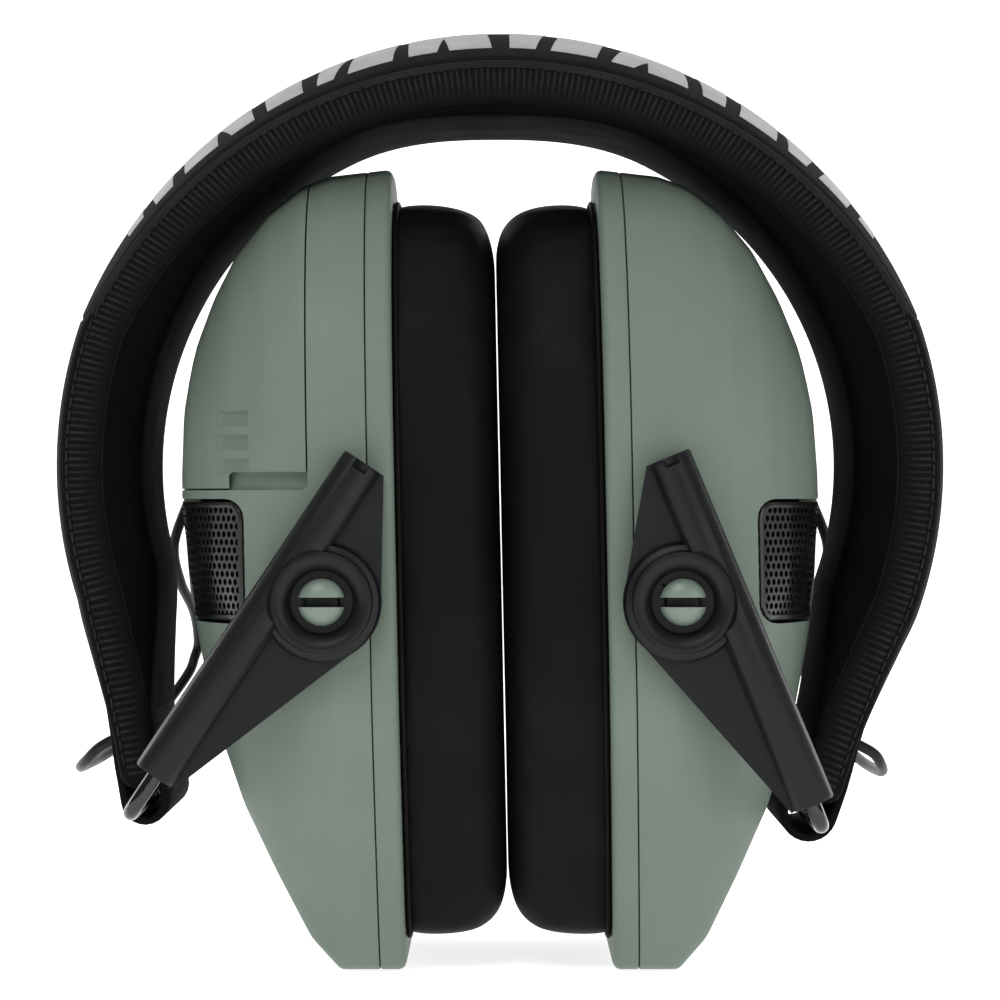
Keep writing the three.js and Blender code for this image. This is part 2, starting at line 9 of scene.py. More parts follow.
import bpy
import numpy as np
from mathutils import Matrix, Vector


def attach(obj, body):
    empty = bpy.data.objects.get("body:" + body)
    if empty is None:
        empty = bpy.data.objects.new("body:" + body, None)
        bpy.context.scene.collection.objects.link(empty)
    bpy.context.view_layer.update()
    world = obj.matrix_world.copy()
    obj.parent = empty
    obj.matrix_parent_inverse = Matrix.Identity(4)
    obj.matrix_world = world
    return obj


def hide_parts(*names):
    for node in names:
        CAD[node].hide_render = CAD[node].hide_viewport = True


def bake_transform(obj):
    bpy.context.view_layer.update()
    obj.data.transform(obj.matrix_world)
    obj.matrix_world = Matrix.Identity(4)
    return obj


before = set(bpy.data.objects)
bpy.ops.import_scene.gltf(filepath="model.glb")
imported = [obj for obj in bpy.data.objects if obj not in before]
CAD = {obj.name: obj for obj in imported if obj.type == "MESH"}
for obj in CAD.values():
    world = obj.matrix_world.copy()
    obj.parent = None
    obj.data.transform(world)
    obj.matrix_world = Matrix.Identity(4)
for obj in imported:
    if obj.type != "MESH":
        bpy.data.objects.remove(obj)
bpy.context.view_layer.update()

MM = 0.001
SIDES = ("left", "right")
SIGN = {"left": -1, "right": 1}


# ---------------------------------------------------------------- camera, light and floor
CAMERA_DISTANCE, CAMERA_HEIGHT, CAMERA_LENS = 0.56, 0.0625, 145.8
WORLD_STRENGTH = 0.22
LIT_POINT = (0, 0, 0.06)
# name: place in metres, width and height in metres, power in watts
LIGHTS = {
    "key": ((-0.2, -0.7, 0.7), (0.5, 0.5), 3.2),
    "fill": ((0.55, -0.65, 0.3), (0.5, 0.5), 1.5),
    "top": ((0, 0.1, 0.75), (0.7, 0.7), 1.6),
    "edge_left": ((-0.75, 0.5, 0.25), (0.3, 0.7), 2),
    "edge_right": ((0.75, 0.5, 0.25), (0.3, 0.7), 2),
}


def make_camera():
    data = bpy.data.cameras.new("camera")
    data.lens = CAMERA_LENS
    data.sensor_width = 36
    data.clip_start = 0.01
    camera = bpy.data.objects.new("camera", data)
    camera.location = (0, -CAMERA_DISTANCE, CAMERA_HEIGHT)
    camera.rotation_euler = (math.pi / 2, 0, 0)
    bpy.context.scene.collection.objects.link(camera)
    bpy.context.scene.camera = camera


def make_light(name, location, size, power):
    data = bpy.data.lights.new(name, "AREA")
    data.shape = "RECTANGLE"
    data.size, data.size_y = size
    data.energy = power
    light = bpy.data.objects.new(name, data)
    light.location = location
    aim = Vector(LIT_POINT) - Vector(location)
    light.rotation_euler = aim.to_track_quat("-Z", "Y").to_euler()
    bpy.context.scene.collection.objects.link(light)


def make_studio():
    world = bpy.data.worlds.new("studio")
    world.use_nodes = True
    background = world.node_tree.nodes["Background"]
    background.inputs["Color"].default_value = (1, 1, 1, 1)
    background.inputs["Strength"].default_value = WORLD_STRENGTH
    bpy.context.scene.world = world
    bpy.context.scene.view_settings.view_transform = "Standard"
    for name, settings in LIGHTS.items():
        make_light(name, *settings)


def make_floor():
    """A white sweep: a flat floor that bends up into a wall behind."""
    white = bpy.data.materials.new("studio_white")
    white.use_nodes = True
    shader = white.node_tree.nodes["Principled BSDF"]
    shader.inputs["Base Color"].default_value = (0.9, 0.9, 0.9, 1)
    shader.inputs["Roughness"].default_value = 0.9
    shader.inputs["Emission Color"].default_value = (1, 1, 1, 1)
    shader.inputs["Emission Strength"].default_value = 0.8
    floor_reach, wall_start, bend, wall_top, steps = 2.5, 0.9, 0.5, 1.6, 16
    profile = [(-floor_reach, 0.0), (wall_start, 0.0)]
    for i in range(1, steps + 1):
        angle = i / steps * math.pi / 2
        profile.append((wall_start + bend * math.sin(angle), bend * (1 - math.cos(angle))))
    profile.append((wall_start + bend, wall_top))
    points = [(x, y, z) for y, z in profile for x in (-floor_reach, floor_reach)]
    faces = [(i, i + 1, i + 3, i + 2) for i in range(0, len(points) - 2, 2)]
    mesh = bpy.data.meshes.new("floor")
    mesh.from_pydata(points, [], faces)
    mesh.shade_smooth()
    mesh.materials.append(white)
    floor = bpy.data.objects.new("floor", mesh)
    bpy.context.scene.collection.objects.link(floor)


make_camera()
make_studio()
make_floor()


# ---------------------------------------------------------------- materials
def linear(*rgb):
    """The linear colour of an sRGB colour given as 0 to 255."""
    return (*[c / 12.92 if c <= 0.04045 else ((c + 0.055) / 1.055) ** 2.4
              for c in (v / 255 for v in rgb)], 1)


class Finish:
    """A material on the Principled shader, with helpers that add procedural detail to it."""

    def __init__(self, name, color, roughness, coords="Object", **sockets):
        self.material = bpy.data.materials.new(name)
        self.material.use_nodes = True
        self.nodes = self.material.node_tree.nodes
        self.links = self.material.node_tree.links
        self.shader = self.nodes["Principled BSDF"]
        self.color = linear(*color)
        self.roughness = roughness
        self.shader.inputs["Base Color"].default_value = self.color
        self.shader.inputs["Roughness"].default_value = roughness
        for socket, value in sockets.items():
            self.shader.inputs[socket.replace("_", " ")].default_value = value
        texture = self.nodes.new("ShaderNodeTexCoord")
        self.where = texture.outputs[coords]
        self.height = None

    def texture(self, kind, scale, where=None, **settings):
        node = self.nodes.new(f"ShaderNodeTex{kind}")
        node.inputs["Scale"].default_value = scale
        for setting, value in settings.items():
            socket = setting.replace("_", " ")
            if socket in node.inputs:
                node.inputs[socket].default_value = value
            else:
                setattr(node, setting, value)
        self.links.new(where or self.where, node.inputs["Vector"])
        return node

    def noise(self, scale, detail=3.0, where=None):
        return self.texture("Noise", scale, where, Detail=detail).outputs["Fac"]

    def stretched(self, factors):
        node = self.nodes.new("ShaderNodeMapping")
        node.inputs["Scale"].default_value = factors
        self.links.new(self.where, node.inputs["Vector"])
        return node.outputs["Vector"]

    def math(self, operation, a, b=0.0):
        node = self.nodes.new("ShaderNodeMath")
        node.operation = operation
        for socket, value in zip(node.inputs, (a, b)):
            if isinstance(value, (int, float)):
                socket.default_value = value
            else:
                self.links.new(value, socket)
        return node.outputs[0]

    def remap(self, value, low, high, to_low, to_high):
        node = self.nodes.new("ShaderNodeMapRange")
        for socket, number in zip(node.inputs[1:5], (low, high, to_low, to_high)):
            socket.default_value = number
        self.links.new(value, node.inputs[0])
        return node.outputs[0]

    def blend_colors(self, factor, first, second):
        node = self.nodes.new("ShaderNodeMix")
        node.data_type = "RGBA"
        node.inputs["A"].default_value = first
        node.inputs["B"].default_value = second
        self.links.new(factor, node.inputs["Factor"])
        self.links.new(node.outputs["Result"], self.shader.inputs["Base Color"])

    def tint(self, factor, first, second):
        """Colours the surface from first to second, each an sRGB colour, by factor."""
        self.blend_colors(factor, linear(*first), linear(*second))

    def mottle(self, scale, amount, detail=4.0):
        """Lightens and darkens the colour by a share of itself."""
        fac = self.remap(self.noise(scale, detail), 0.3, 0.7, 0.0, 1.0)
        self.blend_colors(fac, *([c * share for c in self.color[:3]] + [1]
                                 for share in (1 - amount, 1 + amount)))

    def polish(self, scale, amount):
        """Varies the roughness by the amount either way."""
        fac = self.remap(self.noise(scale), 0.3, 0.7, self.roughness - amount,
                         self.roughness + amount)
        self.links.new(fac, self.shader.inputs["Roughness"])

    def axes(self):
        node = self.nodes.new("ShaderNodeSeparateXYZ")
        self.links.new(self.where, node.inputs[0])
        return node.outputs

    def waves(self, scale, direction, distortion):
        return self.texture("Wave", scale, bands_direction=direction,
                            Distortion=distortion).outputs["Fac"]

    def bump(self, height, distance, strength=1.0):
        """Adds a bump of that distance in metres on top of those before it."""
        node = self.nodes.new("ShaderNodeBump")
        node.inputs["Distance"].default_value = distance
        node.inputs["Strength"].default_value = strength
        self.links.new(height, node.inputs["Height"])
        if self.height is not None:
            self.links.new(self.height, node.inputs["Normal"])
        self.height = node.outputs["Normal"]
        self.links.new(self.height, self.shader.inputs["Normal"])


def moulded(name, color, roughness, grain=2600, depth=0.00002, mottle=0.05, **sockets):
    """Injection-moulded plastic: a fine spark-eroded grain and slightly uneven gloss."""
    finish = Finish(name, color, roughness, **sockets)
    finish.mottle(60, mottle)
    finish.polish(180, 0.06)
    finish.bump(finish.noise(grain, 2.0), depth, 0.5)
    finish.bump(finish.noise(90, 2.0), 0.00012, 0.25)
    return finish.material


def metal(name, color, roughness, brushed=(60, 60, 2500), **sockets):
    finish = Finish(name, color, roughness, Metallic=1.0, **sockets)
    finish.mottle(80, 0.12)
    finish.polish(400, 0.07)
    finish.bump(finish.noise(1, 3.0, finish.stretched(brushed)), 0.00001, 0.6)
    return finish.material


def woven(name, color, thread=0.00045, sheen=0.0, roughness=0.9, depth=0.00008):
    """Plain-woven fabric over UVs in millimetres: two crossing sets of threads."""
    finish = Finish(name, color, roughness, coords="UV", Sheen_Weight=sheen,
                    Specular_IOR_Level=0.1)
    finish.mottle(0.12, 0.22)
    pitch = thread * 1000
    warp, weft = (finish.waves(math.pi / pitch / 10, d, 0.6) for d in "XY")
    finish.bump(finish.math("MULTIPLY", warp, weft), depth, 0.8)
    finish.bump(finish.noise(3.0, 4.0), depth, 0.35)
    return finish.material


def leather(name, color, roughness=0.5, grain=900, specular=0.35):
    """Soft synthetic leather: fine pebbled grain with broader unevenness."""
    finish = Finish(name, color, roughness, Specular_IOR_Level=specular)
    finish.mottle(45, 0.25)
    finish.polish(140, 0.07)
    cells = finish.texture("Voronoi", grain, feature="SMOOTH_F1", Smoothness=0.6)
    finish.bump(cells.outputs["Distance"], 0.00008, 0.35)
    finish.bump(finish.noise(130, 4.0), 0.0004, 0.25)
    return finish.material


def ribbed(name, valley, ridge, pitch):
    """Knitted rib: the raised lines are tinted lighter, a painted highlight on each crest, and the
    tint fades out towards the band's inner side as painted shade. UV x runs along the band in
    millimetres.
    """
    finish = Finish(name, valley, 0.85, coords="UV", Specular_IOR_Level=0.1)
    at = finish.axes()
    # painted highlight: the crests of the ribs are tinted lighter
    turns = finish.math("MULTIPLY", at["X"], 2 * math.pi / pitch)
    crest = finish.math("MULTIPLY", finish.math("ADD", finish.math("COSINE", turns), 1.0), 0.5)
    crest = finish.math("POWER", crest, 3.0)
    fade = finish.remap(finish.noise(0.5, 3.0), 0.35, 0.7, 0.5, 1.0)
    # painted shade: the crest tint fades out towards the inner side, where the band turns under
    # into shadow
    painted_inner_shade = finish.remap(at["Y"], 1.5, 4.6, 1.0, 0.0)
    painted_highlight_and_shade = finish.math("MULTIPLY", finish.math("MULTIPLY", crest, fade), painted_inner_shade)
    finish.tint(painted_highlight_and_shade, valley, ridge)
    finish.bump(finish.waves(0.75, "Y", 1.5), 0.00006, 0.6)
    finish.bump(finish.noise(2.2, 4.0), 0.00008, 0.4)
    return finish.material


def printed(name, color):
    """A heat-pressed print: the weave of the cloth shows through it."""
    finish = Finish(name, color, 0.62, coords="UV", Specular_IOR_Level=0.3)
    finish.mottle(0.2, 0.1)
    finish.bump(finish.waves(0.7, "DIAGONAL", 0.8), 0.00004, 0.5)
    finish.bump(finish.noise(4.0, 3.0), 0.00005, 0.4)
    return finish.material


def circuit(name):
    """Solder mask with the tracks showing through as slightly raised, lighter lines."""
    mask = (26, 84, 52)
    finish = Finish(name, mask, 0.35, Coat_Weight=0.3)
    tracks = finish.texture("Brick", 260, Mortar_Size=0.03, offset=0.5).outputs["Fac"]
    finish.tint(tracks, mask, (70, 130, 88))
    finish.bump(tracks, 0.00003, 0.6)
    finish.polish(300, 0.05)
    return finish.material


def jacket(name):
    """A battery's printed sleeve: a plain dark label with a copper-coloured end band."""
    sleeve, band_from = (48, 52, 60), 0.082
    finish = Finish(name, sleeve, 0.3, Metallic=0.4, Coat_Weight=0.4)
    band = finish.math("GREATER_THAN", finish.axes()["Z"], band_from)
    finish.tint(band, sleeve, (150, 96, 52))
    finish.bump(finish.noise(700, 3.0), 0.00002, 0.4)
    return finish.material


RIB_PITCH = 0.948
SHELL = moulded("shell_green", (105, 118, 107), 0.52, Specular_IOR_Level=0.3)
STUD = moulded("stud_green", (112, 127, 116), 0.34, Specular_IOR_Level=0.5)
BLACK = moulded("moulded_black", (14, 15, 18), 0.42, grain=1800, mottle=0.12,
                Specular_IOR_Level=0.25)
INNER_BLACK = moulded("inner_black", (22, 22, 24), 0.6, Specular_IOR_Level=0.3)
CUSHION = leather("cushion_skin", (13, 12, 11), 0.58, specular=0.1)
LINING = leather("band_lining", (9, 9, 8), 0.9, grain=1400, specular=0.03)
BAND = woven("band_fabric", (16, 15, 15))
BORDER = woven("band_border", (20, 19, 19), thread=0.0004)
STRAP = woven("strap_webbing", (14, 13, 13), thread=0.0007, depth=0.00015)
# the second, lighter colour is a painted highlight on the rib crests
RIB = ribbed("band_rib", (12, 12, 12), (44, 43, 44), RIB_PITCH)
PRINT = printed("band_print", (168, 168, 167))
PIPING = woven("band_piping", (34, 33, 34), thread=0.0005)
THREAD = woven("seam_thread", (44, 43, 44), thread=0.0002)
WIRE = metal("wire_steel", (66, 65, 64), 0.16)
SPRING = metal("spring_steel", (120, 122, 126), 0.3)
BRASS = metal("contact_brass", (176, 146, 84), 0.32)
BOARD = circuit("board")
GRILLE = moulded("grille_metal", (17, 17, 18), 0.3, Specular_IOR_Level=0.6)
CABLE = moulded("cable", (13, 13, 14), 0.42, Specular_IOR_Level=0.25)
BATTERY = jacket("battery")
FOAM = leather("pad_foam", (38, 38, 40), 0.95, grain=1600, specular=0.1)

SLOTS = {
    SHELL: "shell_green", STUD: "shell_green", BLACK: "moulded_black",
    INNER_BLACK: "moulded_black", CUSHION: "cushion_skin", WIRE: "wire_steel",
    SPRING: "spring_steel", GRILLE: "grille_metal", CABLE: "cable",
    **dict.fromkeys((LINING, BAND, BORDER, STRAP, RIB, PRINT, PIPING, THREAD), "band_fabric"),
}


# ---------------------------------------------------------------- mesh tools
def make(name, points, faces, *materials, uvs=None, kinds=None, sharp=35):
    """A smooth-shaded object from millimetre points. kinds gives each face's material number
    and uvs each point's place on the cloth in millimetres."""
    mesh = raw_mesh(name, points, faces)
    for material in materials:
        mesh.materials.append(material)
    if kinds is not None:
        mesh.polygons.foreach_set("material_index", kinds)
    if uvs is not None:
        layer = mesh.uv_layers.new(name="cloth")
        at = np.empty(len(mesh.loops), int)
        mesh.loops.foreach_get("vertex_index", at)
        layer.data.foreach_set("uv", np.asarray(uvs, float)[at].ravel())
    finish_mesh(mesh, sharp)
    obj = bpy.data.objects.new(name, mesh)
    bpy.context.scene.collection.objects.link(obj)
    return obj


def raw_mesh(name, points, faces):
    mesh = bpy.data.meshes.new(name)
    mesh.from_pydata([[c * MM for c in p] for p in points], [], [list(f) for f in faces])
    return mesh


def finish_mesh(mesh, sharp):
    mesh.update()
    mesh.shade_smooth()
    mesh.set_sharp_from_angle(angle=math.radians(sharp))


def grid_faces(rows, columns, start=0, wrap=True, flip=False):
    """Quads over rows of equally many points; wrap closes each row on itself."""
    faces = []
    for r in range(rows - 1):
        for c in range(columns if wrap else columns - 1):
            a = start + r * columns + c
            b = start + r * columns + (c + 1) % columns
            face = (a, b, b + columns, a + columns)
            faces.append(face[::-1] if flip else face)
    return faces


def loft(rings, caps=(True, True)):
    """Points and faces of a closed skin through rings of equally many points."""
    count = len(rings[0])
    points = [p for ring in rings for p in ring]
    faces = grid_faces(len(rings), count)
    last = (len(rings) - 1) * count
    if caps[0]:
        faces.append(tuple(range(count - 1, -1, -1)))
    if caps[1]:
        faces.append(tuple(range(last, last + count)))
    return outward(points, faces)


def ring_skin(rings):
    """Points and faces of a closed skin through rings, the last of which joins the first."""
    count = len(rings[0])
    points = [p for ring in rings for p in ring]
    last = (len(rings) - 1) * count
    closing = [(last + i, last + (i + 1) % count, (i + 1) % count, i) for i in range(count)]
    return outward(points, grid_faces(len(rings), count) + closing)


def slab(top, bottom, rows, columns):
    """A closed sheet between two grids of equally many points."""
    count = rows * columns
    faces = grid_faces(rows, columns, 0, wrap=False)
    faces += grid_faces(rows, columns, count, wrap=False, flip=True)
    rim = list(range(columns)) + [r * columns + columns - 1 for r in range(1, rows)]
    rim += [(rows - 1) * columns + c for c in range(columns - 2, -1, -1)]
    rim += [r * columns for r in range(rows - 2, 0, -1)]
    faces += [(a + count, b + count, b, a) for a, b in zip(rim, rim[1:] + rim[:1])]
    return outward(top + bottom, faces)


def turned(faces, sense):
    """The faces, turned round if the sense is negative."""
    return faces if sense > 0 else [tuple(reversed(f)) for f in faces]


def outward(points, faces):
    """Turns all faces round if the closed surface is inside out."""
    p = np.asarray(points, float)
    volume = 0.0
    for face in faces:
        for i in range(1, len(face) - 1):
            volume += float(np.dot(p[face[0]], np.cross(p[face[i]], p[face[i + 1]])))
    return points, turned(faces, -1 if volume < 0 else 1)


def lathe(profile, centre, axis, sides=48):
    """A closed body of revolution: profile is (radius, distance along axis) from axis to axis."""
    axis = Vector(axis).normalized()
    across = axis.orthogonal().normalized()
    up = axis.cross(across)
    points, faces, rows = [], [], []
    for radius, along in profile:
        middle = Vector(centre) + axis * along
        if radius < 1e-6:
            rows.append([len(points)])
            points.append(tuple(middle))
            continue
        rows.append(list(range(len(points), len(points) + sides)))
        for i in range(sides):
            angle = i / sides * 2 * math.pi
            points.append(tuple(middle + radius * (math.cos(angle) * across
                                                   + math.sin(angle) * up)))
    for low, high in zip(rows, rows[1:]):
        for i in range(sides):
            j = (i + 1) % sides
            if len(low) == 1:
                faces.append((low[0], high[j], high[i]))
            elif len(high) == 1:
                faces.append((low[i], low[j], high[0]))
            else:
                faces.append((low[i], low[j], high[j], high[i]))
    return outward(points, faces)


def smooth_path(points, step):
    """A Catmull-Rom curve through the points, resampled at an even step."""
    p = np.asarray(points, float)
    p = np.vstack([2 * p[0] - p[1], p, 2 * p[-1] - p[-2]])
    out = []
    for i in range(1, len(p) - 2):
        a, b, c, d = p[i - 1:i + 3]
        count = max(4, int(np.linalg.norm(c - b) / step * 3))
        for t in np.linspace(0, 1, count, endpoint=False):
            out.append(0.5 * (2 * b + (c - a) * t + (2 * a - 5 * b + 4 * c - d) * t * t
                              + (3 * b - a - 3 * c + d) * t ** 3))
    out.append(p[-2])
    out = np.array(out)
    run = np.concatenate([[0], np.cumsum(np.linalg.norm(np.diff(out, axis=0), axis=1))])
    even = np.linspace(0, run[-1], max(2, int(round(run[-1] / step)) + 1))
    return np.stack([np.interp(even, run, out[:, k]) for k in range(3)], axis=1)


def tube(path, radius, sides=12, ends=True):
    """A round tube along a path with a frame carried along it; radius may vary by point."""
    path = np.asarray(path, float)
    count = len(path)
    radii = np.broadcast_to(np.asarray(radius, float), (count,))
    tangents = np.gradient(path, axis=0)
    tangents /= np.linalg.norm(tangents, axis=1)[:, None]
    normal = np.array(Vector(tangents[0]).orthogonal().normalized())
    rings, uvs, run = [], [], 0.0
    stations = [(0, -0.5, 0.35), (0, -0.25, 0.8)] if ends else []
    stations += [(i, 0.0, 1.0) for i in range(count)]
    stations += [(count - 1, 0.25, 0.8), (count - 1, 0.5, 0.35)] if ends else []
    for i, push, scale in stations:
        normal = normal - tangents[i] * np.dot(normal, tangents[i])
        normal /= np.linalg.norm(normal)
        side = np.cross(tangents[i], normal)
        middle = path[i] + tangents[i] * push * radii[i]
        ring = []
        run += np.linalg.norm(path[i] - path[max(0, i - 1)])
        for k in range(sides):
            angle = k / sides * 2 * math.pi
            ring.append(tuple(middle + radii[i] * scale * (math.cos(angle) * normal
                                                           + math.sin(angle) * side)))
            uvs.append((run, k / sides * 2 * math.pi * radii[i]))
        rings.append(ring)
    points, faces = loft(rings)
    return points, faces, uvs


def merged(*parts):
    """Several (points, faces) as one."""
    points, faces = [], []
    for part_points, part_faces in parts:
        start = len(points)
        points += list(part_points)
        faces += [tuple(i + start for i in f) for f in part_faces]
    return points, faces


def block(low, high, rounding=0.0, axis=1, steps=5):
    """A box, or with rounding a prism along an axis whose four long edges are rounded."""
    across = [k for k in range(3) if k != axis]
    corners = []
    r = max(rounding, 1e-4)
    for sx, sz, begin in ((1, 1, 0), (-1, 1, 90), (-1, -1, 180), (1, -1, 270)):
        cx = high[across[0]] - r if sx > 0 else low[across[0]] + r
        cz = high[across[1]] - r if sz > 0 else low[across[1]] + r
        for i in range(steps + 1 if rounding else 1):
            angle = math.radians(begin + 90 * i / steps) if rounding else 0
            reach = (r * math.cos(angle), r * math.sin(angle)) if rounding else (sx * r, sz * r)
            corners.append((cx + reach[0], cz + reach[1]))
    rings = []
    for along in (low[axis], high[axis]):
        ring = []
        for a, b in corners:
            p = [0.0, 0.0, 0.0]
            p[across[0]], p[across[1]], p[axis] = a, b, along
            ring.append(tuple(p))
        rings.append(ring)
    return loft(rings)


def apply_modifiers(obj):
    graph = bpy.context.evaluated_depsgraph_get()
    old = obj.data
    obj.data = bpy.data.meshes.new_from_object(obj.evaluated_get(graph))
    obj.modifiers.clear()
    bpy.data.meshes.remove(old)


def boolean(obj, operation, *tools, sharp=35):
    """Joins or cuts obj with closed (points, faces) solids."""
    helpers = []
    for points, faces in tools:
        mesh = raw_mesh("tool", points, faces)
        mesh.update()
        helper = bpy.data.objects.new("tool", mesh)
        bpy.context.scene.collection.objects.link(helper)
        helpers.append(helper)
        modifier = obj.modifiers.new("cut", "BOOLEAN")
        modifier.operation = operation
        modifier.solver = "EXACT"
        modifier.object = helper
    bpy.context.view_layer.update()
    apply_modifiers(obj)
    for helper in helpers:
        mesh = helper.data
        bpy.data.objects.remove(helper)
        bpy.data.meshes.remove(mesh)
    finish_mesh(obj.data, sharp)


def soften(obj, width, angle, segments=2, sharp=40):
    """Rounds the edges that are sharper than the angle, by a width in millimetres."""
    modifier = obj.modifiers.new("edges", "BEVEL")
    modifier.width = width * MM
    modifier.segments = segments
    modifier.limit_method = "ANGLE"
    modifier.angle_limit = math.radians(angle)
    modifier.use_clamp_overlap = True
    modifier.harden_normals = False
    apply_modifiers(obj)
    finish_mesh(obj.data, sharp)


def smoothstep(t):
    t = min(1.0, max(0.0, t))
    return t * t * (3 - 2 * t)


# ---------------------------------------------------------------- headband
ARCH_Z = 67.2
CREST = 60.9
HALF_WIDTH = 20.0
PAD_DEPTH = 12.7
PAD_THINNING = 4.6
PANEL_REACH = math.radians(71) * CREST
PANEL_THICKNESS = 0.8
RIB_HEIGHT = 4.2
RIB_STEPS = 6
POSTURE = {
    "left": dict(splay=33.7, reach=36.3, arc_end=106, curl=-5, end_length=22, loop=2.7),
    "right": dict(splay=22.6, reach=33.5, arc_end=110, curl=2, end_length=20, loop=3.3),
}
TAPER_START = 17.0
LOOP_CLEARANCE = 1.7
STRAP_HALF_WIDTH = 17.6
# Where the flex starts and ends on the right, as (x, y, z); the left mirrors it.
BEND = ((12.4, 0, 126.8), (75.4, 0, 71.4))
END_CLOSING = 2.4
SLEEVE_LINING_FROM = 14
PRINT_LIFT, PRINT_SINK = 0.07, 0.2
PANEL_GAP = 0.1
STRAP_THICKNESS = 1.1


def body_length(side):
    return math.radians(POSTURE[side]["arc_end"]) * CREST + POSTURE[side]["end_length"]


def loop_place(side):
    """Where the wire lies in the band's end frame: how far past the body, and how deep."""
    crest, out, _ = station(side, body_length(side))
    along = Vector((SIGN[side] * out.z, 0, -SIGN[side] * out.x))
    gap = hinge(side) - crest
    return gap.dot(along), -gap.dot(out)


def band_length(side):
    """The pad tapers on from its body to a blunt point just above the wire."""
    return body_length(side) + loop_place(side)[0] - LOOP_CLEARANCE


def tapered(side, s, depth, end_offset):
    """A depth, drawn in toward the wire along the tapering end."""
    begin = body_length(side) - TAPER_START
    share = min(1.0, max(0.0, (s - begin) / (band_length(side) - begin)))
    share *= 0.35 + 0.65 * smoothstep(share)
    return depth + (loop_place(side)[1] + end_offset - depth) * share


def station(side, s):
    """The crest point of the band, s along it from the top, and the direction out of the arch."""
    p, sign = POSTURE[side], SIGN[side]
    arc = math.radians(p["arc_end"]) * CREST
    past = max(0.0, s - arc)
    angle = min(s, arc) / CREST
    turn = angle + math.radians(p["curl"]) * smoothstep(past / 4)
    out = Vector((math.sin(turn) * sign, 0, math.cos(turn)))
    along = Vector((math.cos(turn) * sign, 0, -math.sin(turn)))
    crest = Vector((math.sin(angle) * sign, 0, math.cos(angle))) * CREST
    return crest + Vector((0, 0, ARCH_Z)) + along * past, out, past / p["end_length"]


def on_band(side, s, y, depth):
    crest, out, _ = station(side, s)
    point = crest - out * depth
    return (point.x, y, point.z)


def toward_top(s):
    return max(0.0, 1 - (s / PANEL_REACH) ** 2)


def edge_depth(side, s):
    """Depth below the crest of the band's front and rear edges."""
    edge = 2.4 + 4.7 * toward_top(s) + 1.0 * min(1, station(side, s)[2])
    return tapered(side, s, edge, 0.4 - POSTURE[side]["loop"])


def top_depth(side, s, y):
    """Depth of the outer face, which is crowned across the band."""
    sink = 1.3 * toward_top(s) + 1.2 * min(1, station(side, s)[2])
    sink = tapered(side, s, sink, -POSTURE[side]["loop"])
    rim = edge_depth(side, s) - 0.3
    return sink + (rim - sink) * min(1.0, abs(y) / HALF_WIDTH) ** 2


def pad_depth(side, s):
    thicker = 0.7 if side == "right" else 0.2
    depth = PAD_DEPTH + thicker * smoothstep(s / 40) - PAD_THINNING * min(1, station(side, s)[2])
    depth += 1.5 * (1 - smoothstep(s / 27))
    return tapered(side, s, depth, POSTURE[side]["loop"])


def rib_end(side, s):
    return min(edge_depth(side, s) + 0.9 + RIB_HEIGHT, pad_depth(side, s) - 0.9)


def sleeve_section(side, s):
    """Half of the sleeve's outline as (y, depth), from the crest round to the lining's middle."""
    w = HALF_WIDTH
    under = PANEL_THICKNESS * (1 - smoothstep((s - PANEL_REACH + 1.5) / 1.5)) + 0.15
    edge, stop, deep = edge_depth(side, s), rib_end(side, s), pad_depth(side, s)
    half = [((w - 0.9) * t, top_depth(side, s, (w - 0.9) * t) + under)
            for t in np.linspace(0, 1, 10)]
    half.append((w - 0.35, edge + 0.1))
    half.append((w - 0.3, edge + 0.9))
    half.append((w - 0.5, (edge + 0.9 + stop) / 2))
    half.append((w - 0.3, stop + 0.05))
    corner = max(0.7, min(3.2, deep - stop - 0.4))
    half.append((w - 0.02, stop + 0.45))
    bulge = 0.3 * (1 - smoothstep(s / 26))
    for i in range(7):
        angle = i / 6 * math.pi / 2
        half.append((w - corner * (1 - math.cos(angle)), deep - corner * (1 - math.sin(angle))))
    for t in (0.8, 0.6, 0.4, 0.2, 0.0):
        reach = (w - corner) * t
        half.append((reach, deep + bulge * (1 - t * t)))
    return half


def band_stations(side, step, start=0.0, stop=None):
    stop = band_length(side) if stop is None else stop
    count = max(2, int(round((stop - start) / step)) + 1)
    return np.linspace(start, stop, count)


def make_sleeve(side):
    """The band's cover: fabric outside and at the edges, a smooth lining on the inside."""
    rings, uvs = [], []
    closing_from = band_length(side) - END_CLOSING
    stops = list(band_stations(side, 1.6, 0, closing_from))
    stops += [closing_from + d for d in (0.9, 1.7, 2.2)]
    for s in stops:
        half = sleeve_section(side, s)
        close = max(0.0, (s - closing_from) / END_CLOSING)
        middle = (half[0][1] + half[-1][1]) / 2
        shrink = math.sqrt(max(0.05, 1 - close ** 2))
        half = [(y * (1 - 0.06 * (1 - shrink)), middle + (d - middle) * shrink) for y, d in half]
        loop = half + [(-y, d) for y, d in half[-2:0:-1]]
        rings.append([on_band(side, s, y, d) for y, d in loop])
        run = np.cumsum([0] + [math.dist(a, b) for a, b in zip(loop, loop[1:])])
        uvs += [(s, r) for r in run]
    count = len(rings[0])
    kinds = [int(min(c, count - 1 - c) >= SLEEVE_LINING_FROM)
             for _ in rings[1:] for c in range(count)] + [1, 1]
    return make(f"{side}_sleeve", *loft(rings), BAND, LINING, uvs=uvs, kinds=kinds, sharp=60)


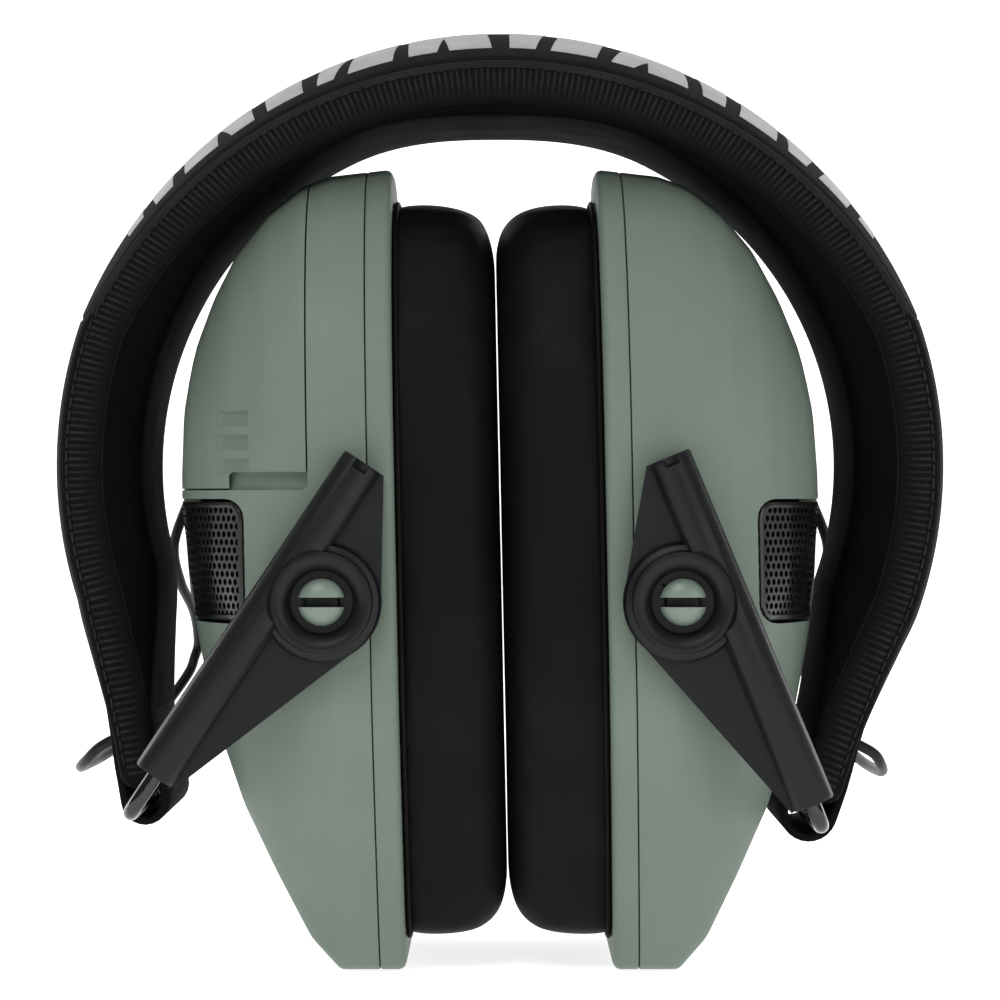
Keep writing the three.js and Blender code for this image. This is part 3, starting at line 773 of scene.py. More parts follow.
def make_rib_strip(side, where, sign):
    """The knitted rib that edges the band, with its ribs as real ridges."""
    end = band_length(side) - 1.6
    stops = band_stations(side, RIB_PITCH / RIB_STEPS, 0, end)
    rings, uvs = [], []
    rows = 9
    for s in stops:
        edge, stop = edge_depth(side, s) + 0.85, rib_end(side, s)
        ridge = (0.5 + 0.5 * math.cos(2 * math.pi * s / RIB_PITCH)) ** 2
        fade = smoothstep((end - s) / 2)
        ring = []
        for k in range(rows):
            q = k / (rows - 1)
            belly = math.sin(math.pi * q) ** 0.7
            raised = 0.16 * ridge * min(1, q * 6) * (1 - smoothstep((q - 0.35) / 0.6))
            proud = (-0.15 + 0.42 * belly + raised) * fade - 0.4 * (1 - fade)
            ring.append(on_band(side, s, sign * (HALF_WIDTH + proud), edge + (stop - edge) * q))
            uvs.append((s, q * 5))
        for q in (0.8, 0.2):
            ring.append(on_band(side, s, sign * (HALF_WIDTH - 0.75), edge + (stop - edge) * q))
            uvs.append((s, 6 + q))
        rings.append(ring)
    points, faces = loft(rings)
    return make(f"{side}_rib_{where}", points, faces, RIB, uvs=uvs, sharp=80)


def panel_profile(across, ahead):
    """Height of the panel near its border, as a share of its thickness."""
    return math.sqrt(max(0.0, 1 - (1 - min(1.0, min(across, ahead) / 1.1)) ** 2))


def make_panel(side):
    """The padded top panel: it lies on the sleeve and ends in a soft step."""
    half = HALF_WIDTH - 0.7
    corner = 4.0
    edge_steps = np.array([0, 0.15, 0.4, 0.8])
    ys = np.concatenate([edge_steps - half, np.linspace(-half + 1.3, half - 1.3, 23),
                         half - edge_steps[::-1]])
    stops = np.concatenate([band_stations(side, 1.6, 0, PANEL_REACH - 1.4),
                            PANEL_REACH - np.array([1.0, 0.65, 0.35, 0.12, 0.0])])
    rings, uvs = [], []
    for s in stops:
        ahead = PANEL_REACH - s
        narrow = 1.0
        if ahead < corner:
            narrow = 1 - corner / half * (1 - math.sqrt(max(0.0, 1 - (1 - ahead / corner) ** 2)))
        top, bottom = [], []
        for y in ys:
            across = (half - abs(y)) * narrow
            lift = PANEL_THICKNESS * panel_profile(across, ahead)
            depth = top_depth(side, s, y * narrow)
            top.append(on_band(side, s, y * narrow, depth + PANEL_THICKNESS - lift + PANEL_GAP))
            bottom.append(on_band(side, s, y * narrow, depth + PANEL_THICKNESS + 0.35))
            uvs.append((s, y * narrow))
        uvs += [(s, y * narrow) for y in reversed(ys)]
        rings.append(top + bottom[::-1])
    points, faces = loft(rings)
    return make(f"{side}_panel", points, faces, BORDER, uvs=uvs, sharp=60)


# Slanted bars and wedges printed on the panel: along the band at the front edge, then at the
# rear edge, and from which y to which y.
PRINT_SHAPES = {
    "left": [
        (1.2, 7.4, 3.6, 9.8, -15.8, 15.5), (9.2, 13.4, 6.2, 12.4, -15.8, 2.0),
        (15.8, 22.6, 11.4, 16.4, -15.8, 15.5), (24.8, 27.4, 20.4, 25.0, -15.8, -1.0),
        (18.6, 24.8, 21.6, 27.0, 1.2, 15.5), (29.6, 35.4, 27.2, 33.2, -15.8, 15.5),
        (37.6, 41.6, 36.4, 43.4, -15.8, 3.6), (44.0, 50.2, 39.6, 45.4, -15.8, 15.5),
        (52.6, 56.2, 47.6, 54.0, -15.8, 15.5), (58.6, 62.0, 56.4, 60.8, -14.6, 6.0),
    ],
    "right": [
        (1.4, 5.2, 1.0, 8.2, -15.8, 15.5), (7.4, 14.2, 10.4, 15.8, -15.8, 15.5),
        (16.4, 19.8, 18.2, 24.6, -15.8, -1.4), (22.0, 28.2, 18.4, 22.4, -15.8, 15.5),
        (30.6, 34.2, 25.2, 31.0, -15.8, 15.5), (36.6, 43.0, 33.8, 39.2, -15.8, 15.5),
        (45.2, 48.6, 42.0, 48.8, -15.8, 1.8), (51.0, 56.8, 51.6, 55.8, -15.8, 15.5),
        (59.0, 62.4, 58.2, 61.4, -14.2, 9.0),
    ],
}


def make_print(side):
    """Each printed shape is a thin raised patch that follows the panel's surface."""
    parts, uvs = [], []
    rows, columns = 15, 7
    for front_low, front_high, rear_low, rear_high, y_low, y_high in PRINT_SHAPES[side]:
        top, bottom, cloth = [], [], []
        for t in (r / (rows - 1) for r in range(rows)):
            y = y_low + (y_high - y_low) * t
            low = front_low + (rear_low - front_low) * t
            high = front_high + (rear_high - front_high) * t
            for c in range(columns):
                s = low + (high - low) * c / (columns - 1)
                depth = top_depth(side, s, y) + PANEL_GAP
                top.append(on_band(side, s, y, depth - PRINT_LIFT))
                bottom.append(on_band(side, s, y, depth + PRINT_SINK))
                cloth.append((s, y))
        parts.append(slab(top, bottom, rows, columns))
        uvs += cloth + cloth
    return make(f"{side}_print", *merged(*parts), PRINT, uvs=uvs, sharp=50)


def make_piping(side):
    """A corded edge along both long edges of the panel and round its end."""
    w, corner = HALF_WIDTH - 0.2, 4.0
    path = [(s, -w) for s in np.linspace(0, PANEL_REACH - corner + 0.4, 60)]
    centre = PANEL_REACH - corner + 0.4
    path += [(centre + corner * math.sin(a), -w + corner * (1 - math.cos(a)))
             for a in np.linspace(0.2, math.pi / 2, 8)]
    path += [(PANEL_REACH + 0.4, y) for y in np.linspace(-w + corner + 1.5, -1, 8)]
    path += [(s, -y) for s, y in reversed(path)]
    route = [on_band(side, s, y, top_depth(side, s, y) + (0.75 if s < centre else 0.7))
             for s, y in path]
    points, faces, uvs = tube(route, 0.52, 8)
    return make(f"{side}_piping", points, faces, PIPING, uvs=uvs, sharp=80)


def make_stitches(name, routes, radius, across):
    """Short raised threads along routes; across is the axis that runs over the cloth."""
    points, faces = merged(*(tube(route, radius, 6)[:2] for route in routes))
    uvs = [(p[across], p[2]) for p in points]
    return make(name, points, faces, THREAD, uvs=uvs, sharp=80)


def make_edge_stitches(side):
    """Overlock stitches between the piping and the rib."""
    routes = []
    for sign in (-1, 1):
        for s in np.arange(0.7, band_length(side) - 4, 1.9):
            depth = edge_depth(side, s) + 0.67
            y = sign * (HALF_WIDTH - 0.12)
            routes.append([on_band(side, s + d, y + sign * proud, depth)
                           for d, proud in ((0, 0), (0.45, 0.16), (0.9, 0.16), (1.3, 0))])
    return make_stitches(f"{side}_edge_stitches", routes, 0.15, across=0)


def hinge(side):
    p, sign = POSTURE[side], SIGN[side]
    c, s = math.cos(math.radians(p["splay"])), math.sin(math.radians(p["splay"]))
    x = pivot_x(side) + sign * (TUBE_OFFSET * c + p["reach"] * s)
    return Vector((x, 0, PIVOT_Z + TUBE_OFFSET * s - p["reach"] * c))


def ribbon(path, crowns, half_width, thickness):
    """A strap along a path in the XZ plane. Its edges lie lower than its middle by the crown."""
    path = np.asarray(path, float)
    crowns = np.asarray(crowns, float)
    tangents = np.gradient(path, axis=0)
    tangents /= np.linalg.norm(tangents, axis=1)[:, None]
    t, w = thickness / 2, half_width
    section = [(-w + 0.25, -t), (-w * 0.5, -t), (0, -t), (w * 0.5, -t), (w - 0.25, -t),
               (w - 0.05, -t * 0.55), (w, 0), (w - 0.05, t * 0.55), (w - 0.25, t), (w * 0.5, t),
               (0, t), (-w * 0.5, t), (-w + 0.25, t), (-w + 0.05, t * 0.55), (-w, 0),
               (-w + 0.05, -t * 0.55)]
    rings, uvs, run = [], [], 0.0
    for i, (p, d) in enumerate(zip(path, tangents)):
        run += np.linalg.norm(p - path[max(0, i - 1)])
        normal = np.array((d[2], 0, -d[0]))
        thin = 1 - 0.5 * (i in (0, len(path) - 1))
        rings.append([tuple(p + normal * (n * thin - crowns[i] * (y / w) ** 2)
                            + np.array((0, y, 0))) for y, n in section])
        uvs += [(run, y + n) for y, n in section]
    points, faces = loft(rings)
    return points, faces, uvs


def make_end_strap(side):
    """The strap on the band's outer face, which turns round the wire and is sewn in inside."""
    centre = hinge(side)
    _, across, _ = station(side, body_length(side))
    up = Vector((-SIGN[side] * across.z, 0, SIGN[side] * across.x))
    tip, radius = band_length(side), POSTURE[side]["loop"]
    sunk_at = ((15, 0.95), (11, 0.65), (7, 0.3), (3.5, 0.05), (1, 0.0))
    path, crowns = [], []
    for back, sunk in sunk_at:
        s = tip - back
        path.append(Vector(on_band(side, s, 0, top_depth(side, s, 0) + sunk)))
        crowns.append(top_depth(side, s, STRAP_HALF_WIDTH) - top_depth(side, s, 0))
    for angle in np.linspace(0, math.pi, 11):
        path.append(centre + across * radius * math.cos(angle) - up * radius * math.sin(angle))
    for back, sunk in reversed(sunk_at):
        path.append(Vector(on_band(side, tip - back, 0, pad_depth(side, tip - back) - sunk)))
    crowns += [0] * (len(path) - len(crowns))
    # The crown rides along as the y of each point while the path is smoothed.
    path = smooth_path([(p.x, c, p.z) for p, c in zip(path, crowns)], 0.8)
    crowns = -SIGN[side] * np.abs(path[:, 1])
    path[:, 1] = 0
    points, faces, uvs = ribbon(path, crowns, STRAP_HALF_WIDTH, STRAP_THICKNESS)
    strap = make(f"{side}_end_strap", points, faces, STRAP, uvs=uvs, sharp=60)
    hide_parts(f"{side}_end_loop")
    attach(strap, f"{side}_side")
    routes = [[on_band(side, s, y + d, top_depth(side, s, y + d) - 0.2 - b)
               for d, b in ((0, 0), (0.5, 0.15), (1.0, 0.15), (1.5, 0))]
              for s in (tip - 7, tip - 5.6) for y in np.arange(-16.5, 16.4, 2.2)]
    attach(make_stitches(f"{side}_strap_stitches", routes, 0.16, across=1), f"{side}_side")


def make_spring(side):
    """The spring-steel strip inside the sleeve."""
    section = ((-12.6, 5.5), (-13, 5.9), (-12.6, 6.4), (12.6, 6.4), (13, 5.9), (12.6, 5.5))
    rings = [[on_band(side, s, y, d) for y, d in section]
             for s in band_stations(side, 2.0, 0, body_length(side) - 4)]
    strip = make(f"{side}_spring_strip", *loft(rings), SPRING, sharp=40)
    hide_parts(f"{side}_spring", "crown_spring")
    return strip


def bend_with_band(obj, side):
    """Bakes the object's transform into its mesh. The flex's start and end are worked out but not
    used, so nothing is bent.
    """
    start, end = ((SIGN[side] * x * MM, y * MM, z * MM) for x, y, z in BEND)
    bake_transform(obj)
    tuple(start)
    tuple(end)


def build_band(side):
    sleeve = make_sleeve(side)
    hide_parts(f"{side}_cover", f"{side}_foam", "crown_cover", "crown_foam")
    panel = make_panel(side)
    pieces = [sleeve, panel, make_spring(side), make_print(side), make_piping(side),
              make_edge_stitches(side), make_rib_strip(side, "front", -1),
              make_rib_strip(side, "rear", 1)]
    for piece in pieces:
        bend_with_band(piece, side)
    make_end_strap(side)


# ---------------------------------------------------------------- cups
LEAN, LEAN_OFFSET = 0.0203, 1.3
PIVOT_U, PIVOT_Z = 23.2, 49.4
TUBE_OFFSET = 5.4
EAR_Z = 53.8
RIM_INNER, RIM_OUTER, SHELL_INNER, SHELL_OUTER = 13.7, 17.06, 17.2, 42.6
LEVELS = np.array([
    # u, bottom, top, half width
    [10.0, 0.0, 107.9, 38.0],
    [14.6, 0.0, 107.9, 38.0],
    [22.4, 0.0, 107.0, 38.0],
    [26.2, 4.2, 105.6, 37.4],
    [30.5, 12.6, 102.2, 36.4],
    [34.8, 21.6, 97.0, 33.4],
    [38.2, 31.5, 90.6, 29.0],
    [40.8, 43.0, 84.0, 24.6],
    [42.3, 51.0, 77.0, 20.5],
    [42.6, 57.0, 70.0, 17.0],
])


def pivot_x(side):
    return LEAN_OFFSET - LEAN * PIVOT_Z + SIGN[side] * PIVOT_U


def leaned(side, point):
    u, y, z = point
    return (LEAN_OFFSET - LEAN * z + SIGN[side] * u, y, z)


def place(side, points, faces):
    """Puts cup-frame points on their side, keeping the faces turned out."""
    return [leaned(side, p) for p in points], turned(faces, SIGN[side])


def level_at(u):
    """Bottom, top and half width at u, with the breaks between facets rounded."""
    spread = min(0.45, (SHELL_OUTER - u) * 0.6 + 0.02)
    total = np.zeros(3)
    for shift, weight in ((-1, 0.15), (-0.5, 0.2), (0, 0.3), (0.5, 0.2), (1, 0.15)):
        at = u + shift * spread
        total += weight * np.array([np.interp(at, LEVELS[:, 0], LEVELS[:, k]) for k in (1, 2, 3)])
    return total


def outline(bottom, top, half_width):
    """The cup's outline as (y, z): flat bottom, flared flanks, round top. Corners are cut."""
    tall = top - bottom
    foot = half_width * 0.62
    spring = bottom + tall * 0.6
    half = [(foot * 0.5, bottom), (foot, bottom), (foot + half_width * 0.06, bottom + tall * 0.015),
            (foot + half_width * 0.2, bottom + tall * 0.125),
            (half_width * 0.985, bottom + tall * 0.31), (half_width, bottom + tall * 0.37),
            (half_width, bottom + tall * 0.48)]
    for i in range(10):
        angle = i / 10 * math.pi / 2
        half.append((half_width * math.cos(angle) ** 0.75,
                     spring + (top - spring) * math.sin(angle) ** 0.85))
    ring = half + [(0, top)] + [(-y, z) for y, z in reversed(half)] + [(0, bottom)]
    for _ in range(3):
        cut = []
        for (y0, z0), (y1, z1) in zip(ring, ring[1:] + ring[:1]):
            cut.append((0.75 * y0 + 0.25 * y1, 0.75 * z0 + 0.25 * z1))
            cut.append((0.25 * y0 + 0.75 * y1, 0.25 * z0 + 0.75 * z1))
        ring = cut
    return ring


def cup_ring(u, inset=0.0, draw=0.0):
    bottom, top, half_width = level_at(u)
    return [(u - draw, y, z) for y, z in
            outline(bottom + inset, top - inset, half_width - inset)]


def cup_stops(low, high, step=0.5):
    return np.linspace(low, high, int((high - low) / step) + 1)


def cup_layer(inner_inset, low=SHELL_INNER, high=SHELL_OUTER):
    """A closed bowl: the cup's outer surface and the same surface drawn in by an inset."""
    outer = [cup_ring(low, 0.16), cup_ring(low + 0.06, 0.05)]
    outer += [cup_ring(u) for u in cup_stops(low + 0.35, high)]
    inner = [cup_ring(u, inner_inset, inner_inset) for u in cup_stops(low + inner_inset, high)]
    inner = [[(low, y, z) for _, y, z in inner[0]]] + inner
    rings = outer + inner[::-1]
    count = len(outer[0])
    points = [p for ring in rings for p in ring]
    faces = grid_faces(len(outer), count)
    faces += grid_faces(len(inner), count, len(outer) * count)
    tip, back = (len(outer) - 1) * count, len(outer) * count
    faces += dome(points, list(range(tip, tip + count)), 1)
    faces += dome(points, list(range(back, back + count)), -1)
    final = (len(rings) - 1) * count
    for i in range(count):
        j = (i + 1) % count
        faces.append((final + i, final + j, j, i))
    return outward(points, faces)


def dome(points, ring, sense):
    """Closes a ring with quads that step in to its middle line."""
    middle = np.mean([points[i] for i in ring], axis=0)
    faces, last = [], ring
    for share in (0.7, 0.35):
        inner = []
        for i in ring:
            inner.append(len(points))
            points.append(tuple(middle + (np.asarray(points[i]) - middle) * share))
        for k in range(len(ring)):
            j = (k + 1) % len(ring)
            face = (last[k], last[j], inner[j], inner[k])
            faces.append(face if sense > 0 else face[::-1])
        last = inner
    faces.append(tuple(last) if sense > 0 else tuple(reversed(last)))
    return faces


def oval(half_width, half_height, count, phase=0.5):
    """A vertical stadium round the ear's centre, as (y, z), matched to the outline's order."""
    straight = half_height - half_width
    ring = []
    for i in range(count):
        angle = 2 * math.pi * (i + phase) / count - math.pi / 2
        y, z = half_width * math.cos(angle), half_width * math.sin(angle)
        ring.append((y, EAR_Z + z + math.copysign(straight, z)))
    return ring


def rod(a, b, radius, sides=32):
    """A plain closed cylinder between two points, as a cutting tool."""
    a, b = Vector(a), Vector(b)
    length = (b - a).length
    return lathe([(0, 0), (radius, 0), (radius, length), (0, length)], a, b - a, sides)


BOOT_Y, BOOT_Z = 23, 69
DOOR = dict(u=25, rear_y=8, low_z=64, thickness=1.6, recess_u=35, recess_height=1.9)
GRILLE_Z = (46.6, 62.4)
GRILLE_U, GRILLE_REAR_Y, GRILLE_REACH = 33.6, -13, 24.0
KNOB = dict(u=38, y=23.5, z=84, radius=6.5)
KNOB_AXIS = Vector((0.86, 0.44, 0.26))


def boot_point(d):
    return (41.6 + 0.42 * d, BOOT_Y + 0.45 * d, BOOT_Z - 0.79 * d)


def knob_point(d):
    return (KNOB["u"] + KNOB_AXIS.x * d, KNOB["y"] + KNOB_AXIS.y * d, KNOB["z"] + KNOB_AXIS.z * d)


def grille_block(margin):
    low, high = GRILLE_Z
    return block((GRILLE_U - margin, -48, low - margin),
                 (50, GRILLE_REAR_Y + margin, high + margin), rounding=2.6, axis=1)


def door_block(margin):
    d = DOOR
    return block((d["u"] - margin, -48, d["low_z"] - margin), (48, d["rear_y"] + margin, 116),
                 rounding=1.0, axis=1)


def recess_block(margin, drop):
    d = DOOR
    low = d["low_z"] - drop
    return block((d["u"] - 0.05 - margin, -52, low),
                 (d["recess_u"] + margin, -20, d["low_z"] + d["recess_height"] + margin),
                 rounding=0.7, axis=1)


def make_shell(side):
    points, faces = place(side, *cup_layer(2.2))
    shell = make(f"{side}_shell_skin", points, faces, SHELL, sharp=40)
    tools = [grille_block(0.25)]
    for s in (-1, 1):
        tools.append(rod((PIVOT_U, s * 30, PIVOT_Z), (PIVOT_U, s * 45, PIVOT_Z), 2.3))
    tools.append(lathe([(0, -4), (2.4, -4), (2.4, 0), (1.75, 8.5), (0, 8.5)], boot_point(0),
                       Vector(boot_point(1)) - Vector(boot_point(0)), 32))
    if side == "left":
        tools.append(door_block(0.22))
    else:
        tools.append(rod((27, 8, -3), (27, 8, 22), 3.2))
        tools.append(rod(knob_point(-2.2), knob_point(9), KNOB["radius"] + 0.45, 48))
    boolean(shell, "DIFFERENCE", *[place(side, *t) for t in tools], sharp=40)
    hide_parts(f"{side}_shell")
    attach(shell, f"{side}_cup")
    if side == "left":
        recess = make("left_finger_recess", *place(side, *recess_floor()), SHELL, sharp=40)
        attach(recess, "left_cup")
    else:
        seat = lathe([(0, -2.3), (8.3, -2.3), (8.3, -1.2), (7.6, -0.6), (7.0, -0.6), (7.0, -2.0),
                      (0, -2.0)], knob_point(0), KNOB_AXIS)
        well = make("right_knob_well", *place(side, *seat), SHELL, sharp=40)
        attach(well, "right_cup")
    return shell


def recess_floor():
    """The scooped floor behind the finger recess, 1.3 mm under the cup's surface."""
    d = DOOR
    stops = np.linspace(d["u"] - 0.4, d["recess_u"] + 0.4, 14)
    rows = []
    for u in stops:
        half_width = level_at(u)[2]
        row = []
        for z, deep in ((d["low_z"] - 0.6, 0.7), (d["low_z"] + 0.2, 1.3),
                        (d["low_z"] + d["recess_height"] + 0.9, 1.5)):
            row.append((u, -half_width + deep + 0.1, z))
        for z, deep in ((d["low_z"] + d["recess_height"] + 0.9, 2.3), (d["low_z"] - 0.6, 2.3)):
            row.append((u, -half_width + deep + 0.1, z))
        rows.append(row)
    return loft(rows)


def make_door():
    points, faces = place("left", *cup_layer(DOOR["thickness"], 23))
    door = make("left_door", points, faces, SHELL, sharp=40)
    boolean(door, "INTERSECT", place("left", *door_block(0)), sharp=40)
    grips = []
    for i in range(3):
        high = 74.1 - 3.1 * i
        rows = []
        for u in (32.5, 32.8, 33.5, 34.5, 35.5, 36.1, 36.5, 36.8):
            deep = min(1.0, (u - 32.4) / 0.4, (36.9 - u) / 1.2)
            rows.append([(u, flank(u, z) + depth * deep, z) for depth, z in
                         ((-1.5, high), (0.6, high), (0.68, high - 0.35), (0.55, high - 0.9),
                          (0.02, high - 2.0), (-1.5, high - 2.0))])
        grips.append(loft(rows))
    boolean(door, "DIFFERENCE", place("left", *recess_block(0.25, 1.0)),
            *[place("left", *g) for g in grips], sharp=40)
    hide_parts("left_battery_door")
    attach(door, "battery_door")


def make_rim(side):
    opening = oval(21, 40, len(cup_ring(20)))
    rings = [cup_ring(RIM_INNER, 0.9), cup_ring(RIM_INNER + 0.2, 0.42),
             cup_ring(RIM_INNER + 0.55, 0.12), cup_ring(RIM_INNER + 1.0),
             cup_ring(RIM_OUTER - 0.2), cup_ring(RIM_OUTER - 0.06, 0.05), cup_ring(RIM_OUTER, 0.16)]
    rings += [[(u, y, z) for y, z in opening] for u in (RIM_OUTER, RIM_INNER)]
    rim = make(f"{side}_rim_ring", *place(side, *ring_skin(rings)), SHELL, sharp=40)
    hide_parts(f"{side}_rim")
    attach(rim, f"{side}_cup")


# ---------------------------------------------------------------- ear cushions
CUSHION_LOW, CUSHION_TOP, CUSHION_HALF = 4.0, 103.6, 36.0
CUSHION_FACE, CUSHION_BACK = 0.04, 13.6
CUSHION_TUCK, CUSHION_SHRINK = 2.2, 0.2
EAR_HALF_WIDTH, EAR_HALF_HEIGHT = 16.5, 29.0
FILL_VOXEL, FILL_PRESSURE, FILL_FRAMES, FILL_CAP = 0.0026, 4, 20, 1.2
FACE_SOFTNESS = 0.12


def cushion_ring(u, draw):
    return [(u, y, z) for y, z in
            outline(CUSHION_LOW + draw, CUSHION_TOP - draw, CUSHION_HALF - draw)]


def cushion_form(shrink):
    """The cushion before it is filled: a ring with softly rounded edges."""
    back, face = CUSHION_BACK + CUSHION_TUCK, CUSHION_FACE + 0.6 * shrink
    rings = [cushion_ring(u, draw + shrink) for u, draw in
             ((back, 0), (back - 0.5, 0), (back - 4, 0), (5.4, 0.1), (3.2, 0.8), (1.5, 2.0),
              (face + 0.25, 3.7), (face, 5.6), (face, 8.5))]
    count = len(rings[0])
    w, h = EAR_HALF_WIDTH + shrink, EAR_HALF_HEIGHT + shrink
    rings += [[(u, y, z) for y, z in oval(w + grow, h + grow, count)] for u, grow in
              ((face, 5.2), (face, 3.6), (face + 0.6, 1.9), (2.6, 0.6), (5, 0.1), (back - 4, 0),
               (back - 0.5, 0), (back, 0))]
    return ring_skin(rings)


def fill_cushion(obj, side):
    """Fills the cushion by cloth pressure with its back held, then limits how far any point has
    moved.
    """
    remesh = obj.modifiers.new("remesh", "REMESH")
    remesh.mode = "VOXEL"
    remesh.voxel_size = FILL_VOXEL
    apply_modifiers(obj)
    rest = np.array([v.co for v in obj.data.vertices], float)
    u_rest = (rest[:, 0] / MM - LEAN_OFFSET + LEAN * rest[:, 2] / MM) * SIGN[side]
    held = obj.vertex_groups.new(name="held")
    for i, u in enumerate(u_rest):
        if u > CUSHION_BACK - 2.6:
            held.add([i], 1.0, "REPLACE")
    cloth = obj.modifiers.new("cloth", "CLOTH")
    cloth.settings.use_pressure = True
    cloth.settings.uniform_pressure_force = FILL_PRESSURE
    cloth.settings.effector_weights.gravity = 0
    cloth.settings.vertex_group_mass = "held"
    cloth.settings.tension_stiffness = 12
    cloth.settings.compression_stiffness = 12
    cloth.settings.bending_stiffness = 0.4
    cloth.settings.quality = 6
    cloth.collision_settings.use_self_collision = False
    scene = bpy.context.scene
    for number in range(1, FILL_FRAMES + 1):
        scene.frame_set(number)
    graph = bpy.context.evaluated_depsgraph_get()
    filled = obj.evaluated_get(graph).to_mesh()
    now = np.array([v.co for v in filled.vertices], float)
    obj.evaluated_get(graph).to_mesh_clear()
    obj.modifiers.clear()
    scene.frame_set(1)
    move = now - rest
    length = np.linalg.norm(move, axis=1)
    move *= np.minimum(1.0, FILL_CAP * MM / np.maximum(length, 1e-9))[:, None]
    obj.data.vertices.foreach_set("co", (rest + move).ravel())
    obj.vertex_groups.clear()


def settle_cushion(obj, side):
    """Presses the cushion flat where it meets its twin and where it sits on the rim."""
    co = np.array([v.co for v in obj.data.vertices], float) / MM
    lean = LEAN_OFFSET - LEAN * co[:, 2]
    u = (co[:, 0] - lean) * SIGN[side]
    soft, low = FACE_SOFTNESS, CUSHION_FACE
    face = np.percentile(u, 4)
    u = CUSHION_BACK - (CUSHION_BACK - u) * (CUSHION_BACK - low) / (CUSHION_BACK - face)
    u = np.where(u < low + soft, low + soft * np.exp((u - low - soft) / soft), u)
    u = np.minimum(u, CUSHION_BACK)
    co[:, 0] = lean + SIGN[side] * u
    obj.data.vertices.foreach_set("co", (co * MM).ravel())
    obj.data.update()


def make_cushion(side):
    points, faces = place(side, *cushion_form(CUSHION_SHRINK))
    cushion = make(f"{side}_ear_cushion", points, faces, CUSHION, sharp=180)
    fill_cushion(cushion, side)
    even = cushion.modifiers.new("even", "SMOOTH")
    even.factor, even.iterations = 0.5, 8
    subdivide = cushion.modifiers.new("smooth", "SUBSURF")
    subdivide.levels = subdivide.render_levels = 2
    apply_modifiers(cushion)
    settle_cushion(cushion, side)
    finish_mesh(cushion.data, 180)
    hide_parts(f"{side}_cushion")
    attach(cushion, f"{side}_cup")
    for name, u, ring, radius in (
            ("welt", CUSHION_BACK - 0.4, [p[1:] for p in cushion_ring(0, 0.35)], 0.36),
            ("seam", 4.4, oval(EAR_HALF_WIDTH - 0.2, EAR_HALF_HEIGHT - 0.2, 120), 0.3)):
        cord = closed_tube([leaned(side, (u, y, z)) for y, z in ring], radius)
        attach(make(f"{side}_cushion_{name}", *cord, CUSHION, sharp=180), f"{side}_cup")


def closed_tube(route, radius, sides=8):
    """A ring-shaped cord through a closed route that lies in one plane."""
    p = np.asarray(route, float)
    tangents = np.roll(p, -1, axis=0) - np.roll(p, 1, axis=0)
    tangents /= np.linalg.norm(tangents, axis=1)[:, None]
    axis = np.array((1.0, 0, 0))
    rings = []
    for point, t in zip(p, tangents):
        side = np.cross(t, axis)
        side /= np.linalg.norm(side)
        rings.append([tuple(point + radius * (math.cos(angle) * axis + math.sin(angle) * side))
                      for angle in (k / sides * 2 * math.pi for k in range(sides))])
    return ring_skin(rings)


# ---------------------------------------------------------------- microphone grilles
def grille_surface(s, z, depth):
    """A point on the cup's corner: s runs along its horizontal section from GRILLE_U outward."""
    us = SHELL_OUTER - 0.02 - (SHELL_OUTER - GRILLE_U + 1.5) * np.linspace(1, 0, 90) ** 2
    ys = np.array([flank(u, z) for u in us])
    run = np.concatenate([[0], np.cumsum(np.hypot(np.diff(us), np.diff(ys)))])
    run -= np.interp(GRILLE_U, us, run)
    near = (s - 0.7, s, s + 0.7)
    (u1, u, u2), (y1, y, y2) = np.interp(near, run, us), np.interp(near, run, ys)
    du, dy = u2 - u1, y2 - y1
    length = math.hypot(du, dy) or 1.0
    return (u - depth * dy / length, y + depth * du / length, z)


FLANKS = {}


def flank(u, z):
    """The cup's front surface: y at that u and height."""
    key = round(float(u), 4)
    if key not in FLANKS:
        bottom, top, half_width = level_at(u)
        ring = [(y, h) for y, h in outline(bottom, top, half_width) if y < 0]
        ring.sort(key=lambda p: p[1])
        FLANKS[key] = (np.array([h for _, h in ring]), np.array([y for y, _ in ring]))
    heights, ys = FLANKS[key]
    return float(np.interp(z, heights, ys))


def make_grille_mesh(side):
    """The perforated plate: a ring of quads round each hole, in front, behind and through."""
    low, high = GRILLE_Z
    pitch, hole, sides = 1.2, 0.43, 12
    front, rear, margin = 0.35, 0.75, 0.3
    row_height, radius = pitch * 0.866, pitch / math.sqrt(3)
    points, faces, shared = [], [], {}

    def corner(s, z, depth):
        key = (round(s, 3), round(z, 3), depth)
        if key not in shared:
            shared[key] = len(points)
            points.append(grille_surface(s, z, depth))
        return shared[key]

    for r in range(int((high - low) / row_height) + 2):
        for c in range(int(GRILLE_REACH / pitch) + 2):
            cs = (c + 0.5 * (r % 2)) * pitch
            cz = low + r * row_height
            if not 0.4 <= cs <= GRILLE_REACH or not low + margin < cz < high - margin:
                continue
            edge, ring = [], []
            for k in range(sides):
                angle = math.radians(90 + 30 * k)
                span = radius if k % 2 == 0 else radius * math.cos(math.radians(30))
                edge.append((cs + span * math.cos(angle), cz + span * math.sin(angle)))
                ring.append((cs + hole * math.cos(angle), cz + hole * math.sin(angle)))
            for k in range(sides):
                j = (k + 1) % sides
                for depth, sense in ((front, 1), (rear, -1)):
                    face = (corner(*edge[k], depth), corner(*edge[j], depth),
                            corner(*ring[j], depth), corner(*ring[k], depth))
                    faces += turned([face], sense)
                faces.append((corner(*ring[k], front), corner(*ring[j], front),
                              corner(*ring[j], rear), corner(*ring[k], rear)))
    moved = [leaned(side, p) for p in points]
    mesh = make(f"{side}_grille_mesh", moved, turned(faces, -SIGN[side]), GRILLE, sharp=40)
    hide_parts(f"{side}_mic_grille")
    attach(mesh, f"{side}_cup")


